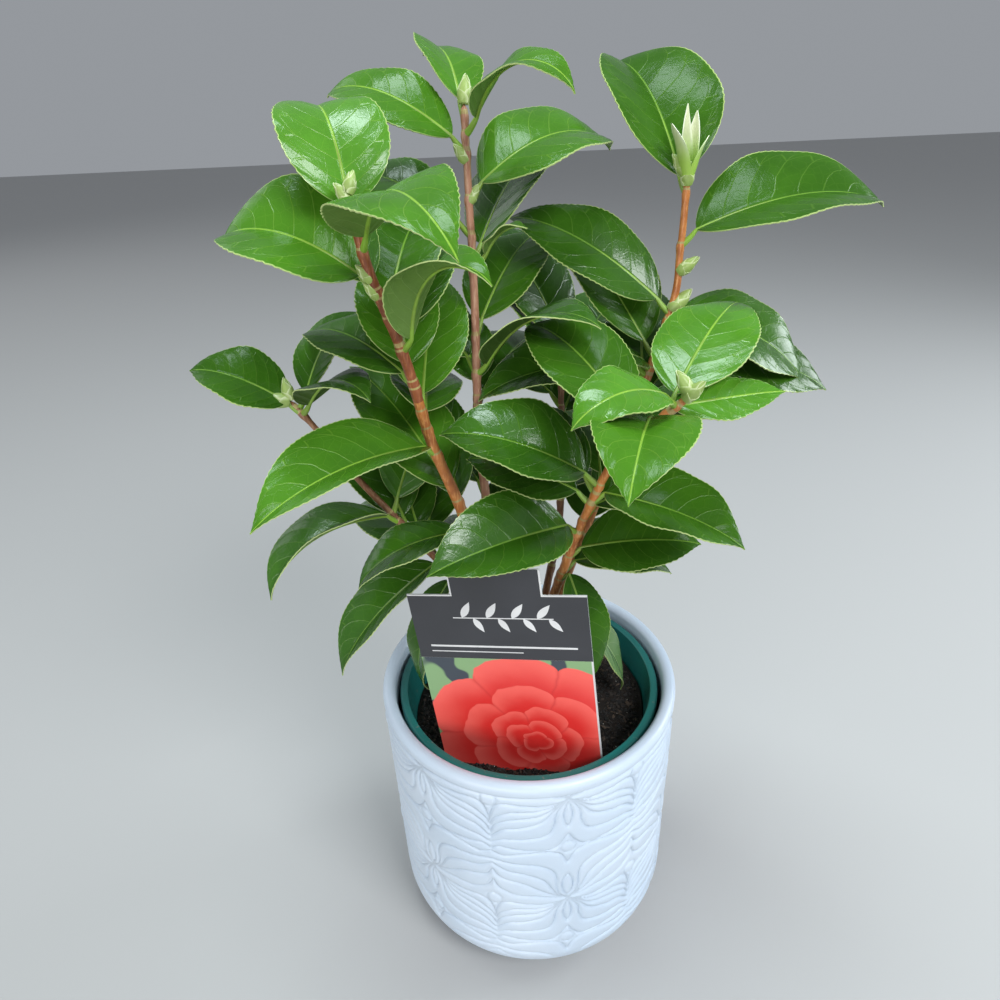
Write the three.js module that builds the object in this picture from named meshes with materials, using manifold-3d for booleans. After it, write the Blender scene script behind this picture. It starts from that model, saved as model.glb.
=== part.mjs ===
// A young camellia shrub in its grow pot, set in a straight-walled ceramic cover pot.
// Millimetres, +Z up. The origin is the centre of the cover pot's flat underside, and -Y is the front.
import * as THREE from "three";
import { mergeVertices } from "three/addons/utils/BufferGeometryUtils.js";
import Module from "manifold-3d";

const wasm = await Module();
wasm.setup();

// Clearance between two pieces that touch
const GAP = 0.3;

// Ceramic cover pot
const POT_RADIUS = 75;
const POT_HEIGHT = 150;
const POT_WALL = 6.5;
const POT_FLOOR = 8;
const POT_FOOT_ROUNDING = 25;
const POT_LIP_ROUNDING = 3;
const POT_SIDES = 40;

// Green grow pot inside it, standing on its floor
const GROW_RIM_RADIUS = 66.5;
const GROW_RIM_TOP = 144.6;
const GROW_RIM_DEPTH = 9;
const GROW_RIM_LIP = 2.4;
const GROW_FOOT_RADIUS = 50;
const GROW_WALL = 1.6;
const GROW_SIDES = 32;

// Potting soil, filled to here
const SOIL_TOP = 126;

// Plant label, pushed into the soil with its spike and its lower edge
const LABEL_WIDTH = 77.8;
const LABEL_SHOULDER = 109.6;
const LABEL_TAB_LEFT = 19.6;
const LABEL_TAB_WIDTH = 39.8;
const LABEL_TAB_HEIGHT = 13;
const LABEL_SPIKE_WIDTH = 14;
const LABEL_SPIKE_DEPTH = 20;
const LABEL_THICKNESS = 0.8;
const LABEL_FOOT = [-4.2, -41, SOIL_TOP - 7.7];
const LABEL_LEAN = 5.6;
const LABEL_YAW = -12.4;

// Stems: radii, and the number of their sides
const TRUNK_TOP = 149;
const TRUNK_RADII = [4.6, 3.4];
const FLARE_RADIUS = 7.5;
const FLARE_HEIGHT = 9;
const BOUGH_RADIUS = 2.5;
const SHOOT_TIP_RADIUS = 1.3;
const STEM_SIDES = 8;
const STEM_STEP = 16;

// Leaves: the blade is this share of its length thick, and widest at WIDEST of its length
const LEAF_THICKNESS = 0.012;
const LEAF_STEPS = 5;
const WIDEST = 0.43;
const MARGIN_CURL = 0.15;
const ARCH_MIDDLE = 0.4;
const ARCH_POWER = 1.5;
const TIP_BEND = 30;
const TIP_FROM = 0.75;
const TIP_TAPER = 0.55;
const PETIOLE_LENGTH = 8;
const PETIOLE_RISE = 45;
const PETIOLE_RADIUS = 1.1;

// The shoots. path: the points a stem passes through, from inside the short main stem to its tip.
// masses: the heights at which the bare bough ends and each mass of foliage begins, up to the tip.
// girth: how thick the stem is against the others.
// leaves: where each leaf leaves the stem (height), then heading, rise, droop, roll and fold in degrees,
// then length and width. Heading 0 is +X and 90 is +Y. Rise is the slope from the blade's base to its tip.
// behind: places for leaves on the far side, in turn to the left and right of a heading:
// first and last height, how many, the heading and how far they swing from it.
// empty: the places of these, counted from 0, where another leaf or stem is in the way.
// seed: starts the small differences between these leaves.
// buds: height, heading, rise and length of each bud.
const SHOOTS = {
  left: {
    path: [[-1, 0, 138], [-14, -5, 200], [-28, -12, 256], [-37, -18, 290], [-43, -24, 326], [-51, -32, 360],
      [-54, -35, 384]],
    masses: { left_low_foliage: 215, left_middle_foliage: 292, left_top_foliage: 345 },
    girth: 1.25,
    leaves: [
      [376, 114, 21, 94, 3, 22, 65, 46],
      [366, 296, 3, 84, 12, 13, 82, 35],
      [352, 166, 14, 77, -27, 27, 55, 51],
      [342, 80, 24, 40, 0, 16, 52, 34],
      [329, 318, 30, 118, 4, 29, 56, 29],
      [316, 104, 34, 30, 0, 16, 58, 34],
      [303, 84, 32, 25, 0, 16, 66, 36],
      [283, 228, 0, 41, -11, 34, 82, 42],
      [258, 136, 34, 40, 0, 16, 76, 44],
      [252, 102, 34, 30, -24, 16, 60, 28],
      [236, 197, -20, 60, 0, 18, 54, 31],
    ],
    behind: [295, 349, 4, 115, 30],
    empty: [],
    seed: 197,
    buds: [[384, 90, 70, 13], [380, 150, 60, 10], [356, 200, 50, 8], [350, 210, 50, 8]],
  },
  side: {
    path: [[-2, 0, 140], [-28, -1, 200], [-57, -2, 244], [-72, -2, 266], [-86, -2, 290], [-95, -1, 303]],
    masses: { side_low_foliage: 195, side_top_foliage: 262 },
    girth: 0.9,
    leaves: [
      [299, 53, 33, 62, -5, 21, 48, 28],
      [297, 178, 21, 54, -24, 21, 42, 33],
      [297, 320, 14, 90, 0, 14, 46, 28],
      [243, 216, -17, 75, 11, 31, 66, 35],
      [230, 110, 30, 30, 0, 16, 52, 30],
      [215, 208, -40, 42, 2, 32, 70, 38],
      [205, 205, -76, 60, 0, 16, 70, 28],
    ],
    behind: [209, 247, 5, 97, 25],
    empty: [],
    seed: 379,
    buds: [[303, 190, 10, 12], [303, 120, 70, 10]],
  },
  middle: {
    path: [[0, 2, 149], [-9, 4, 190], [-16, 5, 240], [-18, 5, 290], [-17, 10, 338], [-17, 14, 382],
      [-17, 16, 407]],
    masses: { middle_low_foliage: 232, middle_top_foliage: 330 },
    girth: 1,
    leaves: [
      [403, 107, 18, 59, 15, 19, 57, 28],
      [397, 321, 8, 119, 19, 17, 53, 22],
      [391, 155, 15, 69, -29, 15, 60, 29],
      [375, 27, 8, 78, 18, 16, 65, 48],
      [362, 150, 15, 50, -20, 14, 60, 32],
      [350, 340, 30, 80, 0, 20, 22, 14],
      [308, 328, 22, 85, 0, 16, 60, 36],
      [298, 100, 25, 30, 0, 16, 44, 26],
    ],
    behind: [235, 353, 9, 95, 38],
    empty: [3, 7],
    seed: 384,
    buds: [[407, 60, 75, 10], [388, 180, 55, 8], [374, 30, 55, 8]],
  },
  right: {
    path: [[3, 3, 144], [20, 7, 200], [42, 9, 265], [62, 10, 328], [65, 12, 353], [66, 14, 380]],
    masses: { right_low_foliage: 172, right_middle_foliage: 256, right_top_foliage: 340 },
    girth: 1,
    leaves: [
      [374, 108, 35, 53, -4, 31, 73, 54],
      [355, 5, 4, 50, 21, 24, 79, 53],
      [329, 151, 24, 50, -30, 17, 76, 36],
      [326, 348, -30, 46, 23, 15, 60, 42],
      [315, 351, -20, 29, 26, 10, 70, 40],
      [311, 130, 39, 31, -13, 29, 67, 43],
      [306, 215, 10, 50, -20, 16, 44, 30],
      [303, 186, -8, 45, -15, 25, 70, 42],
      [180, 350, -60, 50, 0, 16, 64, 30],
    ],
    behind: [213, 310, 9, 60, 22],
    empty: [8],
    seed: 192,
    buds: [[380, 150, 50, 10], [345, 340, 40, 10], [330, 10, 45, 12]],
    openingBud: [378.6, 27.5],
  },
  front: {
    path: [[2, -2, 141], [9, -10, 190], [18, -20, 231], [26, -28, 262], [32, -34, 281], [42, -42, 299],
      [57, -49, 317]],
    masses: { front_low_foliage: 212, front_middle_foliage: 250, front_top_foliage: 297 },
    girth: 1.05,
    leaves: [
      [309, 53, 18, 42, 4, 9, 64, 38],
      [312, 210, -5, 86, -16, 14, 44, 27],
      [305, 3, 4, 10, 27, 11, 41, 21],
      [304, 251, -6, 66, -3, 19, 58, 37],
      [264, 332, -12, 32, 8, 26, 58, 42],
      [273, 171, 16, 43, -19, 25, 61, 45],
      [263, 160, 10, 40, -20, 16, 50, 32],
      [247, 210, 0, 31, -27, 33, 66, 44],
      [232, 350, 5, 45, 30, 20, 52, 34],
      [222, 8, -16, 50, 0, 16, 50, 32],
      [218, 310, -77, 40, 0, 16, 60, 28],
    ],
    behind: [254, 313, 5, 74, 55],
    empty: [4],
    seed: 75,
    buds: [[317, 150, 55, 10], [315, 330, 50, 10]],
  },
  back: {
    path: [[2, 6, 146], [12, 18, 190], [19, 25, 227], [20, 28, 295], [26, 31, 318]],
    masses: { back_low_foliage: 212, back_top_foliage: 268 },
    girth: 0.9,
    leaves: [
      [310, 130, 40, 40, 0, 16, 68, 44],
    ],
    behind: [234, 303, 8, 107, 40],
    empty: [2, 3],
    seed: 46,
    buds: [[318, 60, 60, 11]],
  },
};

// What the leaves on the far side have in common
const BEHIND_RISE = [-10, 30];
const BEHIND_DROOP = 50;
const BEHIND_LENGTH = 64;
const BEHIND_SHAPE = 0.56;
const BEHIND_SWAY = 12;
const BEHIND_FOLD = 16;

const BUD_RADIUS = 0.26;
const BUD_SIDES = 6;

// The opening bud's long scales: the heading and the rise of each, and its share of the bud's length
const SCALES = [[190, 69, 0.83], [125, 84, 1], [350, 83, 0.92], [30, 68, 0.59]];
const SCALE_RADIUS = 0.09;

const FINISHES = {
  ceramic: { color: 0xdfe6ee, roughness: 0.55, metalness: 0 },
  plastic: { color: 0x14665e, roughness: 0.45, metalness: 0 },
  soil: { color: 0x1d1916, roughness: 0.95, metalness: 0 },
  card: { color: 0x3a3a40, roughness: 0.4, metalness: 0 },
  bark: { color: 0x8c5a32, roughness: 0.7, metalness: 0 },
  leaf: { color: 0x3f7d22, roughness: 0.3, metalness: 0 },
};

const group = new THREE.Group();

function addMesh(name, geometry, finish) {
  const mesh = new THREE.Mesh(geometry, new THREE.MeshStandardMaterial(FINISHES[finish]));
  mesh.name = name;
  group.add(mesh);
}

function radians(degrees) {
  return (degrees * Math.PI) / 180;
}

// A unit vector from a heading and a rise
function direction(heading, rise) {
  const h = radians(heading);
  const e = radians(rise);
  return new THREE.Vector3(Math.cos(e) * Math.cos(h), Math.cos(e) * Math.sin(h), Math.sin(e));
}

// Solids and meshes

function toSolid(geometry) {
  const bare = geometry.index ? geometry.toNonIndexed() : geometry.clone();
  bare.deleteAttribute("normal");
  bare.deleteAttribute("uv");
  const merged = mergeVertices(bare, 1e-4);
  return new wasm.Manifold(new wasm.Mesh({
    numProp: 3,
    vertProperties: new Float32Array(merged.attributes.position.array),
    triVerts: new Uint32Array(merged.index.array),
  }));
}

function toGeometry(solid) {
  const mesh = solid.getMesh();
  const geometry = new THREE.BufferGeometry();
  geometry.setAttribute("position", new THREE.BufferAttribute(new Float32Array(mesh.vertProperties), 3));
  geometry.setIndex(new THREE.BufferAttribute(new Uint32Array(mesh.triVerts), 1));
  return geometry;
}

// A turned shape about the Z axis. profile: [radius, height] pairs, from the axis and back to it
function turned(profile, sides) {
  const points = profile.map(([radius, height]) => new THREE.Vector2(radius, height));
  return new THREE.LatheGeometry(points, sides).rotateX(Math.PI / 2);
}

// Points on a quarter circle about a centre, from one angle to another
function arc(centreRadius, centreHeight, radius, from, to, steps) {
  return Array.from({ length: steps + 1 }, (_, k) => {
    const angle = radians(from + ((to - from) * k) / steps);
    return [centreRadius + radius * Math.cos(angle), centreHeight + radius * Math.sin(angle)];
  });
}

// Moves every vertex of a geometry by a rule
function reshape(geometry, rule) {
  const position = geometry.attributes.position;
  const point = new THREE.Vector3();
  for (let k = 0; k < position.count; k += 1) {
    point.fromBufferAttribute(position, k);
    const moved = rule(point);
    position.setXYZ(k, moved.x, moved.y, moved.z);
  }
  return geometry;
}

// The pots, the soil and the label

function coverPot() {
  const inner = POT_RADIUS - POT_WALL;
  const lip = POT_LIP_ROUNDING;
  return turned([
    [0, 0],
    ...arc(POT_RADIUS - POT_FOOT_ROUNDING, POT_FOOT_ROUNDING, POT_FOOT_ROUNDING, -90, 0, 4),
    ...arc(POT_RADIUS - lip, POT_HEIGHT - lip, lip, 0, 90, 2),
    ...arc(inner + lip, POT_HEIGHT - lip, lip, 90, 180, 2),
    [inner, POT_FLOOR + POT_WALL],
    [inner - POT_WALL, POT_FLOOR],
    [0, POT_FLOOR],
  ], POT_SIDES);
}

const growFloor = POT_FLOOR + GAP;

// Radius of the grow pot's outer wall at a height, below its rim
function growRadius(height) {
  const wallTop = GROW_RIM_RADIUS - GROW_RIM_LIP;
  const share = (height - growFloor) / (GROW_RIM_TOP - growFloor);
  return GROW_FOOT_RADIUS + (wallTop - GROW_FOOT_RADIUS) * share;
}

function growPot() {
  const rimFoot = GROW_RIM_TOP - GROW_RIM_DEPTH;
  return turned([
    [0, growFloor],
    [GROW_FOOT_RADIUS, growFloor],
    [growRadius(rimFoot), rimFoot],
    [GROW_RIM_RADIUS, rimFoot],
    [GROW_RIM_RADIUS, GROW_RIM_TOP],
    [growRadius(GROW_RIM_TOP) - GROW_WALL, GROW_RIM_TOP],
    [GROW_FOOT_RADIUS - GROW_WALL, growFloor + GROW_WALL],
    [0, growFloor + GROW_WALL],
  ], GROW_SIDES);
}

function soilFill() {
  const foot = growFloor + GROW_WALL + GAP;
  const clear = GROW_WALL + 2 * GAP;
  return turned([
    [0, foot],
    [growRadius(foot) - clear, foot],
    [growRadius(SOIL_TOP) - clear, SOIL_TOP],
    [0, SOIL_TOP],
  ], GROW_SIDES);
}

// The label's outline: shoulders, a raised tab between them and a spike below, grown by a margin
function labelSolid(margin) {
  const half = LABEL_WIDTH / 2 + margin;
  const tabLeft = LABEL_TAB_LEFT - LABEL_WIDTH / 2 - margin;
  const tabRight = tabLeft + LABEL_TAB_WIDTH + 2 * margin;
  const spike = LABEL_SPIKE_WIDTH / 2 + margin;
  const outline = new THREE.Shape([
    [-half, -margin],
    [-spike, -margin],
    [-spike, -LABEL_SPIKE_DEPTH - margin],
    [spike, -LABEL_SPIKE_DEPTH - margin],
    [spike, -margin],
    [half, -margin],
    [half, LABEL_SHOULDER],
    [tabRight, LABEL_SHOULDER],
    [tabRight, LABEL_SHOULDER + LABEL_TAB_HEIGHT],
    [tabLeft, LABEL_SHOULDER + LABEL_TAB_HEIGHT],
    [tabLeft, LABEL_SHOULDER],
    [-half, LABEL_SHOULDER],
  ].map(([x, y]) => new THREE.Vector2(x, y)));
  const depth = LABEL_THICKNESS + 2 * margin;
  const sheet = new THREE.ExtrudeGeometry(outline, { depth, bevelEnabled: false });
  sheet.translate(0, 0, -depth / 2);
  sheet.rotateX(Math.PI / 2);
  sheet.rotateY(radians(-LABEL_LEAN));
  sheet.rotateZ(radians(LABEL_YAW));
  sheet.translate(...LABEL_FOOT);
  return toSolid(sheet);
}

// Stems

// Evenly many points along a smooth path, as [x, y, z]
function smoothPath(path) {
  const curve = new THREE.CatmullRomCurve3(path.map((point) => new THREE.Vector3(...point)), false,
    "catmullrom", 0.5);
  return curve.getPoints(40 * (path.length - 1));
}

// The point of a rising path at a height
function pointAt(points, height) {
  let k = 1;
  while (k < points.length - 1 && points[k].z < height) {
    k += 1;
  }
  const below = points[k - 1];
  const above = points[k];
  return new THREE.Vector3().lerpVectors(below, above, (height - below.z) / (above.z - below.z));
}

// A tapering tube along a rising path, between two heights. radiusAt gives its radius at a height
function limb(points, from, to, radiusAt) {
  const steps = Math.max(1, Math.round((to - from) / STEM_STEP));
  const tube = new THREE.CylinderGeometry(1, 1, 1, STEM_SIDES, steps);
  const toFront = new THREE.Vector3(0, -1, 0);
  return reshape(tube, ({ x, y, z }) => {
    const height = from + (to - from) * (y + 0.5);
    const axis = pointAt(points, height + 1).sub(pointAt(points, height - 1)).normalize();
    const side = new THREE.Vector3().crossVectors(toFront, axis).normalize();
    const front = new THREE.Vector3().crossVectors(axis, side);
    const radius = radiusAt(height);
    return pointAt(points, height).addScaledVector(side, -x * radius).addScaledVector(front, z * radius);
  });
}

// The radius of a shoot's stem at a height: it tapers evenly from the fork to its tip
function shootRadius(points, girth) {
  const foot = points[0].z;
  const tip = points[points.length - 1].z;
  const taper = (SHOOT_TIP_RADIUS - BOUGH_RADIUS) / (tip - foot);
  return (height) => girth * (BOUGH_RADIUS + taper * (height - foot));
}

const trunkPath = [[0, 0, SOIL_TOP], [0.5, 1, 138], [0, 2, TRUNK_TOP]];
const trunkPoints = smoothPath(trunkPath);

function trunkSolid(margin) {
  const foot = SOIL_TOP + GAP;
  const radiusAt = (height) => {
    const share = (height - foot) / (TRUNK_TOP - foot);
    const flare = Math.max(0, 1 - (height - foot) / FLARE_HEIGHT) ** 2;
    const plain = TRUNK_RADII[0] + (TRUNK_RADII[1] - TRUNK_RADII[0]) * share;
    return plain + (FLARE_RADIUS - TRUNK_RADII[0]) * flare + margin;
  };
  const steps = 5;
  const tube = new THREE.CylinderGeometry(1, 1, 1, 12, steps);
  return toSolid(reshape(tube, ({ x, y, z }) => {
    const height = foot + (TRUNK_TOP + margin - foot) * (y + 0.5);
    const centre = pointAt(trunkPoints, Math.min(height, TRUNK_TOP));
    return new THREE.Vector3(centre.x + x * radiusAt(height), centre.y - z * radiusAt(height), height);
  }));
}

// Leaves and buds

// Half of a blade's width at a share of its length
function halfWidth(share, width) {
  const rising = (share / WIDEST) ** 0.72;
  const falling = ((1 - share) / (1 - WIDEST)) ** 0.95;
  return (width / 2) * rising * falling * (1 - TIP_TAPER * share ** 12);
}

// The frame of a blade: along it, up from its face and across it
function bladeFrame(heading, rise, roll) {
  const along = direction(heading, rise);
  const up = direction(heading, rise + 90);
  const across = new THREE.Vector3(Math.sin(radians(heading)), -Math.cos(radians(heading)), 0);
  const c = Math.cos(radians(roll));
  const s = Math.sin(radians(roll));
  return {
    along,
    up: up.clone().multiplyScalar(c).addScaledVector(across, s),
    across: across.clone().multiplyScalar(c).addScaledVector(up, -s),
  };
}

// The direction of the midrib at an angle against the blade's chord
function bladeTangent(along, up, angle) {
  return along.clone().multiplyScalar(Math.cos(angle)).addScaledVector(up, Math.sin(angle));
}

// The blade's slope against its chord at a share of its length: the arch tightens towards the tip,
// which bends down a little more
function archAngle(share, droop) {
  const tip = Math.max(0, (share - TIP_FROM) / (1 - TIP_FROM)) ** 2;
  return radians(droop) * (ARCH_MIDDLE - share ** ARCH_POWER) - radians(TIP_BEND) * tip;
}

// One leaf as a closed sheet, a grid of rows by two halves: its first row is inside the stem, its second
// is where the petiole ends and the blade begins, and the rest follow the folded and arched blade
function leafSolid(points, [height, heading, rise, droop, roll, fold, length, width]) {
  const root = pointAt(points, height);
  const { along, up, across } = bladeFrame(heading, rise, roll);
  const petiole = direction(heading, PETIOLE_RISE);
  const rows = [{ centre: root, tangent: petiole, half: PETIOLE_RADIUS, thickness: 2 * PETIOLE_RADIUS }];
  const centre = root.clone().addScaledVector(petiole, PETIOLE_LENGTH);
  for (let k = 0; k <= LEAF_STEPS; k += 1) {
    const share = k / LEAF_STEPS;
    const tangent = bladeTangent(along, up, archAngle(share, droop));
    const half = Math.max(0.4, halfWidth(share, width));
    rows.push({ centre: centre.clone(), tangent, half, thickness: LEAF_THICKNESS * length });
    const middle = archAngle((k + 0.5) / LEAF_STEPS, droop);
    centre.addScaledVector(bladeTangent(along, up, middle), length / LEAF_STEPS);
  }
  rows[1].tangent = rows[1].tangent.clone().add(petiole).normalize();
  rows[1].half = PETIOLE_RADIUS;
  rows[1].thickness = 1.6 * PETIOLE_RADIUS;
  const lift = Math.sin(radians(fold)) - MARGIN_CURL;
  const last = rows.length - 1;
  const sheet = new THREE.BoxGeometry(2, last, 1, 2, last, 1);
  return toSolid(reshape(sheet, ({ x, y, z }) => {
    const row = rows[Math.round(y + last / 2)];
    const normal = new THREE.Vector3().crossVectors(across, row.tangent).normalize();
    const rim = Math.abs(x) * row.half * lift;
    return row.centre.clone()
      .addScaledVector(across, x * row.half * Math.cos(radians(fold)))
      .addScaledVector(normal, rim + z * row.thickness);
  }));
}

// A pointed bud, or a bud's scale, that stands on a point
function budSolid(foot, heading, rise, length, radius = length * BUD_RADIUS) {
  const bud = turned([
    [0, 0],
    [radius * 0.6, 0],
    [radius, length * 0.35],
    [radius * 0.7, length * 0.7],
    [0, length],
  ], BUD_SIDES);
  bud.applyQuaternion(new THREE.Quaternion().setFromUnitVectors(new THREE.Vector3(0, 0, 1),
    direction(heading, rise)));
  return toSolid(bud.translate(foot.x, foot.y, foot.z));
}

// The opening shoot bud at the top of a stem: long scales that lean out from one base
function openingBudSolids(points, [height, length]) {
  const foot = pointAt(points, height).add(new THREE.Vector3(0, 0, -2));
  const cup = budSolid(foot, 0, 90, length / 2);
  return [cup, ...SCALES.map(([heading, rise, share]) => {
    return budSolid(foot, heading, rise, length * share, length * SCALE_RADIUS);
  })];
}

// A seeded run of numbers between -1 and 1
function swayFrom(seed) {
  let state = seed;
  return () => {
    state = (state * 16807) % 2147483647;
    return (2 * state) / 2147483647 - 1;
  };
}

// The leaves on the far side of a shoot, in turn to the left and right of a heading
function leavesBehind({ behind: [first, last, count, heading, swing], empty, seed }) {
  const sway = swayFrom(seed);
  const leaves = Array.from({ length: count }, (_, k) => {
    const share = k / (count - 1);
    const side = k % 2 ? swing : -swing;
    const rise = BEHIND_RISE[0] + (BEHIND_RISE[1] - BEHIND_RISE[0]) * share;
    const length = BEHIND_LENGTH + 6 * sway();
    return [first + (last - first) * share, heading + side + BEHIND_SWAY * sway(), rise + 6 * sway(),
      BEHIND_DROOP + BEHIND_SWAY * sway(), BEHIND_SWAY * sway(), BEHIND_FOLD, length, length * BEHIND_SHAPE];
  });
  return leaves.filter((_, k) => !empty.includes(k));
}

// Assembly

const label = labelSolid(0);
addMesh("ceramic_pot", coverPot(), "ceramic");
addMesh("grow_pot", growPot(), "plastic");
addMesh("potting_soil", toGeometry(toSolid(soilFill()).subtract(labelSolid(GAP))), "soil");
addMesh("plant_label", toGeometry(label), "card");

const trunk = trunkSolid(0);
addMesh("main_stem", toGeometry(trunk), "bark");

// Each bough is cut clear of the main stem and of the boughs before it
const clearOf = [trunkSolid(GAP)];
Object.entries(SHOOTS).forEach(([name, shoot]) => {
  const points = smoothPath(shoot.path);
  const radiusAt = shootRadius(points, shoot.girth);
  const heights = [...Object.values(shoot.masses), points[points.length - 1].z + GAP / 2];
  const foot = points[0].z + (name === "middle" ? GAP : 0);
  const boughTop = heights[0] - GAP / 2;
  const bough = clearOf.reduce((solid, other) => solid.subtract(other),
    toSolid(limb(points, foot, boughTop, radiusAt)));
  addMesh(`${name}_bough`, toGeometry(bough), "bark");
  clearOf.push(toSolid(limb(points, foot, boughTop, (height) => radiusAt(height) + GAP)));

  const leaves = [...shoot.leaves, ...leavesBehind(shoot)];
  Object.keys(shoot.masses).forEach((mass, k) => {
    const from = heights[k] + GAP / 2;
    const to = heights[k + 1] - GAP / 2;
    const within = ([height]) => height >= heights[k] && height < heights[k + 1];
    const last = k === heights.length - 2;
    const pieces = [
      toSolid(limb(points, from, to, radiusAt)),
      ...leaves.filter(within).map((leaf) => leafSolid(points, leaf)),
      ...shoot.buds.filter(within).map(([height, ...bud]) => budSolid(pointAt(points, height), ...bud)),
      ...(last && shoot.openingBud ? openingBudSolids(points, shoot.openingBud) : []),
    ];
    addMesh(mass, toGeometry(wasm.Manifold.union(pieces)), "leaf");
  });
});

export default group;
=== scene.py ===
import math

import bpy
import numpy as np
from mathutils import Matrix, Vector
from mathutils.kdtree import KDTree


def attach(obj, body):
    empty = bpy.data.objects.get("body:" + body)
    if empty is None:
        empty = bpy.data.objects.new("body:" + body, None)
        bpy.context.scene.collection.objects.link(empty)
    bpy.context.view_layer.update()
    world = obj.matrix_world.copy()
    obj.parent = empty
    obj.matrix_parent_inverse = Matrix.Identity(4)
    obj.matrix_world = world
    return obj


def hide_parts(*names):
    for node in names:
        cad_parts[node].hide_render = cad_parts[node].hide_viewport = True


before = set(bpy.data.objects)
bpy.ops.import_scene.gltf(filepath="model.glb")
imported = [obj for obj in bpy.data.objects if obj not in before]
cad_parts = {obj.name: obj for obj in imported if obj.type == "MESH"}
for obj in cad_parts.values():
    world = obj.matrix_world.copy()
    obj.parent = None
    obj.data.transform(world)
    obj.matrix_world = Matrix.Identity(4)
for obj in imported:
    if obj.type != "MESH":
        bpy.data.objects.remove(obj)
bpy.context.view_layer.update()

MM = 0.001
GAP = 0.3

# Camera: place, slope and roll, and the lens on a 36 mm sensor
CAMERA_PLACE = (-10.4, -279.5, 409.3)
CAMERA_PITCH = 29.53
CAMERA_ROLL = 2.60
CAMERA_LENS = 25.704

# Ceramic cover pot
POT_RADIUS = 75
POT_HEIGHT = 150
POT_WALL = 6.5
POT_FLOOR = 8
POT_FOOT_ROUNDING = 25
POT_LIP_ROUNDING = 3
POT_SIDES = 800
POT_ROW = 0.55

# Its ornament: columns of stars with columns of knots between them, half a pitch lower, and from each to the
# next a fan of low pillows with grooves between them. COLUMN_DRIFT draws the columns a little closer together
# at the front.
ORNAMENT_TOP = 143.4
ORNAMENT_FOOT = 17
COLUMN_COUNT = 12
COLUMN_AT = -79.4
COLUMN_DRIFT = 0.155
COLUMN_GAP = 36.4
STAR_HEIGHT = 68.3
STAR_PITCH = 72.4
GROOVE_DEPTH = 0.9
GROOVE_WIDTH = 0.48
PILLOW_DEPTH = 0.4
PILLOW_WIDTH = 1.6
BOSS_HEIGHT = 0.35
BOSS_RING = 0.3
PATTERN_STEP = 0.2

# The grooves of one fan: places across from a star's column, and up from the star
GROOVES = (
    ((36.4, 36.5), (30.2, 34.4), (20.2, 36.7), (11.5, 37.8), (4, 35.5), (0, 28.3)),
    ((36.4, 30.5), (25.8, 28.8), (14.5, 27.8), (7.8, 23.5), (5.5, 17), (5.3, 9), (3.6, 3.9), (0, 1)),
    ((36.4, 27.2), (29, 23), (19.5, 21), (11.5, 16), (7, 7.5), (4, 2.5), (0, 0)),
    ((36.4, 22.8), (32.4, 17.2), (21.3, 13.9), (14.7, 9.4), (4.7, 2.8), (0, 0)),
    ((36.4, 15), (33.6, 9.4), (25.8, 5), (14.7, 3.9), (2.4, 1.1), (0, 0)),
    ((0, 0), (2.4, -1.1), (10.2, -2.8), (20.2, -2.4), (29, -1.7), (33.5, -4), (35.6, -9), (36.4, -14)),
    ((0, 0), (4.7, -2.8), (14.7, -6.1), (25.8, -7.2), (33.6, -11.7), (36.4, -17)),
    ((0, 0), (5.5, -4), (13.5, -9.5), (25.8, -12.3), (33.6, -16.5), (36.4, -22)),
    ((0, 0), (6, -6), (12.4, -13.5), (22, -17.5), (30, -19.5), (36.4, -25.5)),
    ((0, 0), (5.4, -8.4), (6.5, -16.1), (9.8, -22.5), (18.5, -25), (29.8, -26.3), (36.4, -29.4)),
    ((0, -23.3), (4.7, -30.6), (10.2, -33.3), (23.6, -32.8), (32.4, -31.7), (36.4, -34)),
    ((0, 2.8), (2.0, 6.2), (2.7, 11.7), (1.7, 16.2), (0, 19.4)),
    ((0, -1.7), (1.2, -5.5), (2.0, -10), (1.5, -15), (0, -18.3)),
)
# Rounded bosses: the same places, half width and half height
BOSSES = ((36.4, 0, 3.8, 3.9), (0, -32.4, 3.7, 3.7))

# Green grow pot
GROW_RIM_RADIUS = 66.5
GROW_RIM_TOP = 144.6
GROW_RIM_DEPTH = 9
GROW_RIM_LIP = 2.4
GROW_FOOT_RADIUS = 50
GROW_WALL = 1.6
GROW_SIDES = 128

# Potting soil
SOIL_TOP = 126
SOIL_SLOPES = (0.05, 0.06)
SOIL_SIDES = 180
SOIL_ROWS = 56
LUMP_SEED = 5
CRUMB_SEED = 21
SOIL_LUMPS = 1.5
LUMP_SIZES = (34, 19, 11, 6.5, 4, 2.6)
CHIP_COUNT = 5200
CHIP_SIZES = (0.8, 2.4)
SPECK_COUNT = 170
SPECK_SIZES = (0.5, 1.1)
FIBRE_COUNT = 36
FIBRE_LENGTHS = (6, 15)

# Plant label
LABEL_WIDTH = 77.8
LABEL_SHOULDER = 109.6
LABEL_TAB_LEFT = 19.6
LABEL_TAB_WIDTH = 39.8
LABEL_TAB_HEIGHT = 13
LABEL_SPIKE_WIDTH = 14
LABEL_SPIKE_DEPTH = 20
LABEL_THICKNESS = 0.8
LABEL_FOOT = (-4.2, -41, SOIL_TOP - 7.7)
LABEL_LEAN = 5.6
LABEL_YAW = -12.4
LABEL_PANEL_TOP = 74.8
LABEL_BORDER = 0.7
LABEL_SKIN = 0.12
LABEL_INK = 0.04
ROSETTE_MIDDLE = (9, 24)

# The label's pale print: a sprig with pairs of leaves along it, and two rules.
# Rules: their foot, top, and how far they stay from the left and the right edge
SPRIG = (-20, 24, 97.2, 97.7)
SPRIG_PAIRS = 4
SPRIG_PITCH = 11
RULES = ((81.2, 82.2, 6, 6), (78.4, 78.9, 6, 30))

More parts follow.
